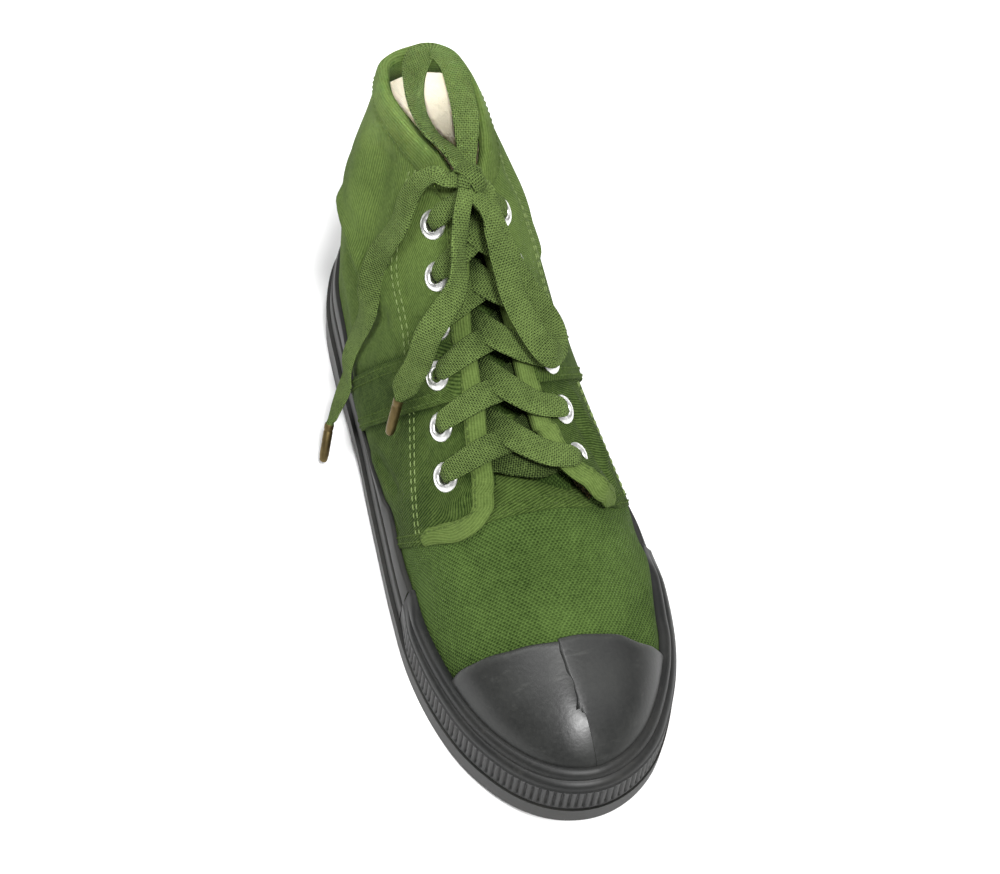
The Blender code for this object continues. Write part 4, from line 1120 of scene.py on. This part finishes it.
def hem_rows(ys, lift):
    """Rows across the vamp between the flaps, with the throat closed."""
    share = np.linspace(-1, 1, 81)
    u = u_at_top_y(ys)[:, None] * np.where(share < 0, -1, 1)
    h = 1 - (1 - HEM_LOW) * np.abs(share)
    drop = HEM_DROP * ramp(ys, HEM_Y + 1, HEM_Y + 11)
    rows = skin(u, np.broadcast_to(h, u.shape), (lift - drop)[:, None], 0.0)
    return np.stack([smoothed(row, 6) for row in rows]), surface(u, h, 0.0)[3]


def build_tongue_root():
    """Band sewn over the vamp's rear edge, which runs on into the tongue."""
    ys = np.concatenate([[HEM_Y - 0.3, HEM_Y - 0.2], np.linspace(HEM_Y, HEM_Y + 30, 50)])
    lift = np.full(len(ys), 0.75)
    lift[:2] = (-0.4, 0.5)
    rows, _ = hem_rows(ys, lift)
    panel("tongue_root", rows[:, ::-1], TWILL, (), "green_canvas", tone=ROOT_TONE)


def build_quarters():
    """Twill panels round the shaft; their front flaps lap over the vamp."""
    for side, word in SIDES:
        curve = FLAPS[side]
        t = np.linspace(0, 1, 120)
        hs = 1 - (1 - t) ** 1.35
        front = np.interp(hs, curve[::-1, 1], np.abs(curve[::-1, 0]))
        share = np.concatenate([[0, 0], np.linspace(0, 1, 150) ** 1.1])
        u = side * (front[None] + (1 - front[None]) * share[:, None])
        h = np.broadcast_to(hs, u.shape)
        lift = cloth_lift(side, u, h)
        lift[0] = lift[0] - 1.3
        lift[1] = lift[1] - 0.45
        points = skin(u, h, lift)
        shaft = ramp(points[..., 1] + 0.5 * points[..., 2], 20, 120)
        tone = QUARTER_TONE + SHAFT_TONE * shaft
        # Painted shade on the quarter beside the band's raised edges and under the binding along the top
        # edge.
        for seam_y in band_edges(points[..., 2]):
            tone -= BAND_EDGE_SHADE * np.exp(-((points[..., 1] - seam_y) / 1.8) ** 2)
        tone -= TAPE_EDGE_SHADE * np.exp(-((1 - h) * WALL_RUN / 9.0) ** 4)
        if side < 0:
            points, tone = points[::-1], tone[::-1]
        keep = off_eyelets(points, HOLE)
        panel(f"quarter_{word}", points, TWILL, [f"facing_{word}"], "green_canvas", tone=tone, keep=keep)


def build_lining():
    """Pale cotton on the upper's inside."""
    us = np.linspace(0.36, 1.64, 260)
    hs = np.linspace(0.0, 1, 64)
    u, h = np.meshgrid(wrapped(us), hs, indexing="ij")
    points = skin(u, h, LINING_LIFT)
    low_throat = (np.abs(u) < u_at_top_y(-16)) & (h > 0.6)
    keep = off_eyelets(points, LINING_HOLE) & ~low_throat[:-1, :-1]
    panel("lining", points[::-1], LINING, (), "cream_lining", keep=keep[::-1])


def inward_from(path, inward, distance, lift):
    """Points of the cloth a distance in from an edge path, or out past it where the distance is negative."""
    _, along, rise, _ = surface(path[:, 0], path[:, 1])
    distance = np.broadcast_to(distance, len(path))
    du, dh = steps_in_surface(along, rise, inward)
    inside = np.maximum(distance, 0)
    cloth = skin(path[:, 0] + du * inside, np.clip(path[:, 1] + dh * inside, 0, 1), lift)
    return cloth + inward * np.minimum(distance, 0)[:, None]


def edge_path(side):
    """From a flap's lower corner up round its tip, along the throat and the collar to the heel's back."""
    curve = FLAPS[side]
    flap = curve[running(wall(curve[:, 0], curve[:, 1])) < FLAP_TAPE[side]][::-1]
    rim_u = side * np.linspace(abs(flap[-1, 0]) + 0.004, 1.0, 260)
    path = np.vstack([flap, np.stack([rim_u, np.ones(260)], axis=1)])
    run = running(wall(path[:, 0], path[:, 1]))
    even = np.linspace(0, run[-1], int(run[-1] / 1.4))
    return sampled(even, run, path)


def edge_frame(path):
    """Points, normals and inward directions along an edge path."""
    point, _, _, normal = surface(path[:, 0], path[:, 1])
    tangent = unit(smoothed(unit(np.gradient(point, axis=0)), 3))
    normal = unit(smoothed(normal, 3))
    return point, normal, unit(np.cross(normal, tangent))


def whole_edge():
    inner, outer = edge_path(-1), edge_path(1)
    return np.vstack([inner, outer[-2::-1]])


def tape_widths(path, point):
    """How far up the collar each point is, the tape's width, and how far it hangs over the throat."""
    high = ramp(point[:, 1], 46, 58)
    run = running(point)
    from_end = np.minimum(run, run[-1] - run)
    taper = ramp(from_end, -1, 5 + 13 * (path[:, 0] > 0))
    wide = (TAPE_THROAT + (TAPE_COLLAR - TAPE_THROAT) * high) * (0.45 + 0.55 * taper)
    over = overhang(path[:, 0], point[:, 1]) * ramp(from_end, 0, 36)
    return high, wide, over


def quarter_lift(u, h):
    return np.where(u >= 0, cloth_lift(1, u, h), cloth_lift(-1, u, h))


def build_tape():
    """Binding folded over the flaps, the throat and the collar in one run."""
    path = whole_edge()
    point, _, inward = edge_frame(path)
    high, wide, over = tape_widths(path, point)
    free = 1 - ramp(path[:, 1], 0.93, 0.999)
    deep = 6.0 + 6.0 * high - 1.0 * free
    base = quarter_lift(path[:, 0], path[:, 1])
    rise = TAPE_LIFT - QUARTER_LIFT
    columns = []
    for share, lift in ((1.0, -0.1), (0.985, 0.5 * rise), (0.93, rise), (0.7, rise + 0.15),
                        (0.45, rise + 0.2), (0.2, rise + 0.15), (0.06, rise - 0.05)):
        columns.append(inward_from(path, inward, wide * share - over, base + lift))
    for back, lift, flap_lift in ((0.45, rise - 0.5, rise - 0.4), (0.7, -0.5, 0.0), (0.7, -2.0, -0.6),
                                  (0.45, -3.0, -1.1)):
        columns.append(inward_from(path, inward, -back - over, base + lift * (1 - free) + flap_lift * free))
    for share, lift, flap_lift in ((0.08, -2.7, -1.4), (0.5, -2.6, -1.5), (0.96, -2.5, -1.5),
                                   (1.0, -1.7, -0.9)):
        lift = lift * (1 - free) + (base + flap_lift) * free
        columns.append(inward_from(path, inward, deep * share - over, lift))
    points = np.stack(columns, axis=1)
    # Painted light on the binding along the throat, painted shade on its inner face.
    tone = np.repeat(THROAT_TAPE_LIGHT * (1 - high[:, None]), points.shape[1], axis=1)
    tone[:, -5:] -= INSIDE_SHADE
    panel("binding", points[:, ::-1], TAPE, ["collar_binding"], "green_canvas", tone=tone[:, ::-1])


def throat_y(side, z):
    """Where the throat's edge is at a height."""
    rim = wall(side * np.linspace(0.40, 0.75, 200), 1.0)
    return np.interp(z, rim[:, 2], rim[:, 1])


def band_edges(z):
    """Front and rear edge of the band at a height."""
    low, high = (np.array(rows[::-1], float) for rows in (BAND_LOW, BAND_HIGH))
    return pchip(low[:, 0], low[:, 1], z), pchip(high[:, 0], high[:, 1], z)


def build_bands():
    """Sewn band from the throat back and down to the sole on each side."""
    for side, word in SIDES:
        zs = np.linspace(23, 102, 70)
        start, end = band_edges(zs)
        start = np.maximum(start, throat_y(side, zs) + 2.5)
        keep = end - start > 2.0
        zs, start, end = zs[keep], start[keep], end[keep]
        share = np.concatenate([[0, 0], np.linspace(0.01, 0.99, 22), [1, 1]])
        y = start[:, None] + (end - start)[:, None] * share
        u, h = place(side, y, np.broadcast_to(zs[:, None], y.shape))
        lift = cloth_lift(side, u, h) + BAND_RISE
        lift[:, [0, -1]] -= BAND_RISE + 0.2
        lift[:, [1, -2]] -= 0.2
        points = skin(u, h, lift)
        if side > 0:
            points = points[::-1]
        keep = off_eyelets(points, HOLE)
        nodes = [f"waist_band_{word}"]
        panel(f"band_{word}", points, TWILL, nodes, "green_canvas", tone=BAND_TONE, keep=keep)


# Toe cap and sole

def build_toe_cap():
    """Two rubber halves over the toe; the outer one laps over the inner along the ridge."""
    for side, word in ((-1, "inner"), (1, "outer")):
        t = np.linspace(0, 1, 64)
        wobble = 0.0012 * np.sin(7 * t + 1.0 + side) + 0.0005 * np.sin(21 * t + 2.0 * side)
        share = np.concatenate([np.linspace(0, 0.97, 66), [0.985, 0.996, 1.0, 1.0]])
        rear = TOE_CAP_REAR + wobble + (0.006 * ramp(t, 0.35, 0.6) if side > 0 else 0.0)
        u = side * share[:, None] * rear[None]
        low = h_at_height(u[:, 0], BUMPER_HIGH - 1.0)
        h = low[:, None] + (1 - low[:, None]) * t
        thick = CAP_THICK + (CAP_OVER if side > 0 else 0.0)
        lift = np.full(u.shape, thick)
        lift[-4:] -= np.array(CAP_EDGE)[:, None]
        lift[-1] = -0.3
        point, _, _, normal = surface(u, h)
        points = point + normal * lift[..., None]
        if side > 0:
            lap = SEAM_LAP * (1 + 0.6 * np.sin(share * 9 + 1) + 0.25 * np.sin(share * 23))[:, None]
            top = points[:, -1] - np.array([1.0, 0, 0.05]) * lap
            points = np.concatenate([points, top[:, None], (top - normal[:, -1] * 1.3)[:, None]], axis=1)
        edge_tone = np.broadcast_to(0.30 * ramp(share, 0.93, 1.0)[:, None], points.shape[:2])
        if side < 0:
            points, edge_tone = points[::-1], edge_tone[::-1]
        nodes = ["toe_cap"] if side > 0 else ()
        panel(f"toe_cap_{word}", points, CAP_RUBBER, nodes, "black_rubber", tone=edge_tone)


def edge_at(u, inset, height):
    x, y, out_x, out_y = edge(wrapped(u))
    x, y = x - out_x * inset, y - out_y * inset
    return np.stack([x, y, sole_top(y) + height], axis=-1), np.stack([out_x, out_y, 0 * x], axis=-1)


def build_bumper():
    """Ribbed strip round the toe with two plain beads over the ribs."""
    us = np.linspace(-BUMPER_SHARE, BUMPER_SHARE, RIBS * 10 + 1)
    rib = np.abs(np.sin(np.linspace(0, RIBS * math.pi, len(us)))) ** 0.7
    full = ramp(BUMPER_SHARE - np.abs(us), 0.0, 0.05)
    face = LEDGE - 1.0 + 1.1 * (1 - full)
    columns = [edge_at(us, 4.6, 0.3)[0], edge_at(us, face + 0.5, 0.3)[0], edge_at(us, face + 0.15, 0.55)[0],
               edge_at(us, face + 0.1, 1.3)[0]]
    tones = [0.0, 0.0, 0.02, 0.04]
    for height in (1.7, 2.1, 2.6, 3.4, 5.0, 7.0, 9.0, 10.6, 11.4, 11.9, 12.3):
        window = ramp(height, 1.5, 2.7) * (1 - ramp(height, 11.2, 12.4))
        inset = face + 0.45 * height / 12 + window * full * 1.2 * (1 - rib)
        columns.append(edge_at(us, inset, height)[0])
        tones.append(0.05 * window)
    low, out = edge_at(us, face + 0.75, 12.6)
    high = skin(us, h_at_height(us, FOXING_HIGH + (BUMPER_HIGH - FOXING_HIGH) * full), 2.1 + 0.8 * full)
    lean = unit(out + (0, 0, 0.9))
    for t in (0.02, 0.10, 0.20, 0.30, 0.40, 0.46, 0.50, 0.54, 0.62, 0.72, 0.82, 0.92, 1.0):
        bead = 0.85 * abs(math.sin(2 * math.pi * t)) ** 0.8 - 0.25
        columns.append(low + (high - low) * t + lean * (bead * full)[:, None])
        tones.append(0.03)
    for lift in (1.5, 0.1):
        columns.append(skin(us, h_at_height(us, BUMPER_HIGH + 0.2), lift))
        tones.append(0.0)
    points = np.stack(columns, axis=1)
    closing = points[[0, -1]].copy()
    closing[:, 1:-1] = closing[:, :1] * 0.8 + closing[:, 1:-1] * 0.2
    points = np.concatenate([closing[:1], points, closing[1:]])
    tone = np.array(tones)[None] + BUMPER_TONE
    panel("ribbed_bumper", points, SOLE_RUBBER, ["toe_bumper"], "black_rubber", tone=tone)


def build_foxing():
    """Two rubber strips round the sides and heel, parted by a groove."""
    us = np.linspace(BUMPER_SHARE + 0.002, 2 - BUMPER_SHARE - 0.002, 330)
    u = wrapped(us)
    columns = []
    for inset, height in ((4.6, 0.3), (1.8, 0.3), (1.55, 0.55), (1.5, 1.2), (1.6, 3.5), (1.75, 6.0),
                          (1.9, 7.8), (2.15, 8.5), (2.7, 8.85), (3.0, 9.0), (3.0, 9.2)):
        columns.append(edge_at(us, inset, height)[0])
    low, out = edge_at(us, 2.7, 9.4)
    high = skin(u, h_at_height(u, FOXING_HIGH), 2.1)
    lean = unit(out + (0, 0, 0.35))
    for t in (0.0, 0.06, 0.15, 0.3, 0.5, 0.7, 0.85, 0.94, 1.0):
        columns.append(low + (high - low) * t + lean * (0.45 * math.sin(math.pi * t) ** 0.6))
    for over, lift in ((0.35, 1.3), (0.2, 0.2)):
        columns.append(skin(u, h_at_height(u, FOXING_HIGH + over), lift))
    points = np.stack(columns, axis=1)
    panel("foxing_strips", points, SOLE_RUBBER, ["foxing"], "black_rubber", tone=FOXING_TONE)


def prism(loop, low, high, axis):
    """Solid made by moving a closed loop of points along an axis."""
    bm = bmesh.new()
    rings = []
    for value in (low, high):
        ring = []
        for p in loop:
            q = list(p)
            q.insert(axis, value)
            ring.append(bm.verts.new(((q[0] + FRAME_X) * MM, q[1] * MM, q[2] * MM)))
        rings.append(ring)
    count = len(loop)
    for k in range(count):
        n = (k + 1) % count
        bm.faces.new((rings[0][k], rings[0][n], rings[1][n], rings[1][k]))
    for ring in rings:
        bm.faces.new(ring)
    bmesh.ops.recalc_face_normals(bm, faces=bm.faces)
    return solid_from(bm, "prism")


def side_profile():
    """Outline of the outsole seen from the side, with its arch and toe spring."""
    heel_back, toe_front = LENGTH / 2 + 5, -LENGTH / 2 - 5
    bottom = [(heel_back, 0.0), (HEEL_BREAST, 0.0),
              (HEEL_BREAST - 3, ARCH_LIFT), (ARCH_FRONT, ARCH_LIFT * 0.75)]
    bottom += [(float(y), float(spring(y))) for y in np.linspace(ARCH_FRONT - 6, toe_front, 40)]
    ys = np.linspace(toe_front, heel_back, 80)
    return bottom + [(float(y), float(sole_top(y))) for y in ys]


def tread_grooves():
    """Boxes across the underside that stop short of the rim."""
    bm = bmesh.new()
    inner, outer = (HALVES[side][1] for side in (-1, 1))
    for count, start in ((4, LENGTH / 2 - 14), (12, ARCH_FRONT - 8)):
        for k in range(count):
            rear = start - k * LUG_PITCH
            front = rear - LUG_GROOVE
            left = max(np.interp(y, inner[:, 1], inner[:, 0]) for y in (front, rear)) + RIM
            right = min(np.interp(y, outer[:, 1], outer[:, 0]) for y in (front, rear)) - RIM
            middle = ((left + right) / 2 + FRAME_X, (front + rear) / 2, float(spring((front + rear) / 2)))
            size = Matrix.Diagonal(((right - left) * MM, LUG_GROOVE * MM, 2 * LUG_DEPTH * MM, 1))
            bmesh.ops.create_cube(bm, size=1.0, matrix=Matrix.Translation(Vector(middle) * MM) @ size)
    return solid_from(bm, "grooves")


def build_outsole():
    """Outsole with a smooth rim, tread grooves and arch."""
    us = np.linspace(0, 2, 341)[:-1]
    x, y, _, _ = edge(wrapped(us))
    body = prism(list(zip(x, y)), -5.0, 45.0, 2)
    cutters = [(prism(side_profile(), -90.0, 90.0, 0), "INTERSECT"), (tread_grooves(), "DIFFERENCE")]
    for cutter, operation in cutters:
        mod = body.modifiers.new("cut", "BOOLEAN")
        mod.operation = operation
        mod.object = cutter
    bpy.context.view_layer.update()
    mesh = bpy.data.meshes.new_from_object(body.evaluated_get(bpy.context.evaluated_depsgraph_get()))
    for old in (body, *(cutter for cutter, _ in cutters)):
        bpy.data.objects.remove(old)
    mesh.name = "outsole_tread"
    mesh.shade_smooth()
    mesh.set_sharp_from_angle(angle=math.radians(35))
    show("outsole_tread", mesh, SOLE_RUBBER, ["outsole"])


# Stitches

def stitches(piece, points, normals, pitch=3.1, length=2.2, radius=0.36):
    """Short rounded threads laid end to end along a line."""
    run = running(points)
    at = np.arange(pitch / 2, run[-1] - pitch / 2, pitch)
    if not len(at):
        return
    centre = sampled(at, run, points)
    out = unit(sampled(at, run, normals))
    way = unit(sampled(at + 0.5, run, points) - centre)
    side = np.cross(way, out)
    angle = np.arange(6) / 6 * 2 * math.pi
    for p, w, n, s in zip(centre, way, out, side):
        rings = []
        for along, size, sink in ((-0.5, 0.25, -0.35), (-0.38, 0.85, -0.05), (0.0, 1.0, 0.05),
                                  (0.38, 0.85, -0.05), (0.5, 0.25, -0.35)):
            spokes = np.cos(angle)[:, None] * s + np.sin(angle)[:, None] * n
            rings.append(p + w * along * length + n * sink + spokes * radius * size)
        piece.grid(np.array(rings), tone=0.0, wrap=True)


def on_cloth(side, u, h, lift):
    _, _, _, normal = surface(u, h)
    return skin(u, h, cloth_lift(side, u, h) + lift), normal


DOUBLE_ROW = [(61, 133), (57, 114.6), (49, 105), (41.7, 97.6), (25.6, 88.4), (14, 80), (-0.9, 69.9),
              (-18.2, 57.4), (-30, 50), (-38, 46)]


def build_stitches():
    """Pale double rows on the quarters, and rows in the cloth's own colour on bands, edges and binding."""
    pale, plain = Piece(), Piece()
    for side in (-1, 1):
        line = smooth_route([(0, y, z) for y, z in DOUBLE_ROW], 8)
        for shift in (-1.3, 1.3):
            u, h = place(side, line[:, 1] + shift * 0.6, line[:, 2] - shift * 0.8)
            stitches(pale, *on_cloth(side, u, h, STITCH_LIFT), radius=0.3)
        path = FLAPS[side][::side]
        _, _, inward = edge_frame(path)
        low = (path[:, 1] > 0.12) & (path[:, 1] < 0.52)
        for away in (1.6, 4.0):
            points = inward_from(path, inward, away, quarter_lift(*path.T) + STITCH_LIFT)
            stitches(plain, points[low], surface(*path.T)[3][low])
        zs = np.linspace(26, 96, 80)
        begin, end = band_edges(zs)
        for share in (0.07, 0.20, 0.80, 0.93):
            y = begin + (end - begin) * share
            free = y > throat_y(side, zs) + 9
            u, h = place(side, y[free], zs[free])
            stitches(plain, *on_cloth(side, u, h, BAND_RISE + STITCH_LIFT), pitch=2.8, length=2.0)
    path = whole_edge()
    point, normal, inward = edge_frame(path)
    _, wide, over = tape_widths(path, point)
    lift = quarter_lift(*path.T) + TAPE_LIFT - QUARTER_LIFT + 0.1
    points = inward_from(path, inward, wide - 1.3 - over, lift)
    stitches(plain, points, normal, pitch=2.6, length=1.9, radius=0.3)
    for y in (HEM_Y + 1.3, HEM_Y + 3.8):
        row, normals = hem_rows(np.array([y]), np.array([0.9]))
        stitches(plain, row[0], normals[0], pitch=2.8, length=2.0)
    pale.build("pale_stitching", THREAD, (), "green_lace")
    plain.build("plain_stitching", DARK_THREAD, (), "green_lace")


# Room

FLOOR_RADIUS = 40.0
WORLD_LIGHT = 0.15
SHOE = (0.0, 0.0, 0.06)
COLLAR = (-0.003, 0.100, 0.134)
# Name, kind, place, aim, size (an angle for the sun), energy and spread of each light.
LIGHTS = [
    ("key", "SUN", (0.00, -0.46, 0.93), SHOE, 0.20, 3.9, None),
    ("top", "AREA", (-0.40, 0.10, 0.90), SHOE, 0.5, 4.2, None),
    ("fill", "AREA", (0.8, -0.2, 0.9), SHOE, 0.8, 2.4, None),
    ("back", "AREA", (0.2, 0.9, 0.9), SHOE, 0.8, 3.5, None),
    ("collar", "AREA", (-0.19, -0.45, 0.68), COLLAR, 0.03, 0.011, 0.066),
]


def build_room():
    """Paper floor, a faint white world and the lights."""
    bm = bmesh.new()
    bmesh.ops.create_circle(bm, cap_ends=True, segments=96, radius=FLOOR_RADIUS)
    floor = solid_from(bm, "floor")
    g = Graph("floor_paper")
    g.set(Base_Color=g.mix(g.noise(3.0), (0.90, 0.90, 0.90), (0.93, 0.93, 0.93)), Roughness=0.9)
    floor.data.materials.append(g.material)
    world = bpy.data.worlds.new("studio")
    world.use_nodes = True
    background = world.node_tree.nodes["Background"]
    background.inputs["Color"].default_value = (1, 1, 1, 1)
    background.inputs["Strength"].default_value = WORLD_LIGHT
    bpy.context.scene.world = world
    for name, kind, place_at, aim, size, energy, spread_angle in LIGHTS:
        data = bpy.data.lights.new(name, kind)
        if kind == "SUN":
            data.angle = size
        else:
            data.shape = "DISK"
            data.size = size
        if spread_angle:
            data.spread = spread_angle
        data.energy = energy
        light = linked(name, data)
        light.location = place_at
        light.rotation_euler = (Vector(aim) - light.location).to_track_quat("-Z", "Y").to_euler()
    bpy.context.scene.view_settings.view_transform = "Standard"


build_camera()
build_lacing()
build_bow()
build_eyelets()
build_outsole()
build_foxing()
build_bumper()
build_toe_cap()
build_vamp()
build_quarters()
build_lining()
build_bands()
build_tape()
build_tongue()
build_tongue_root()
build_stitches()
NODES["insole"].material_slots[0].material = INSOLE
build_room()
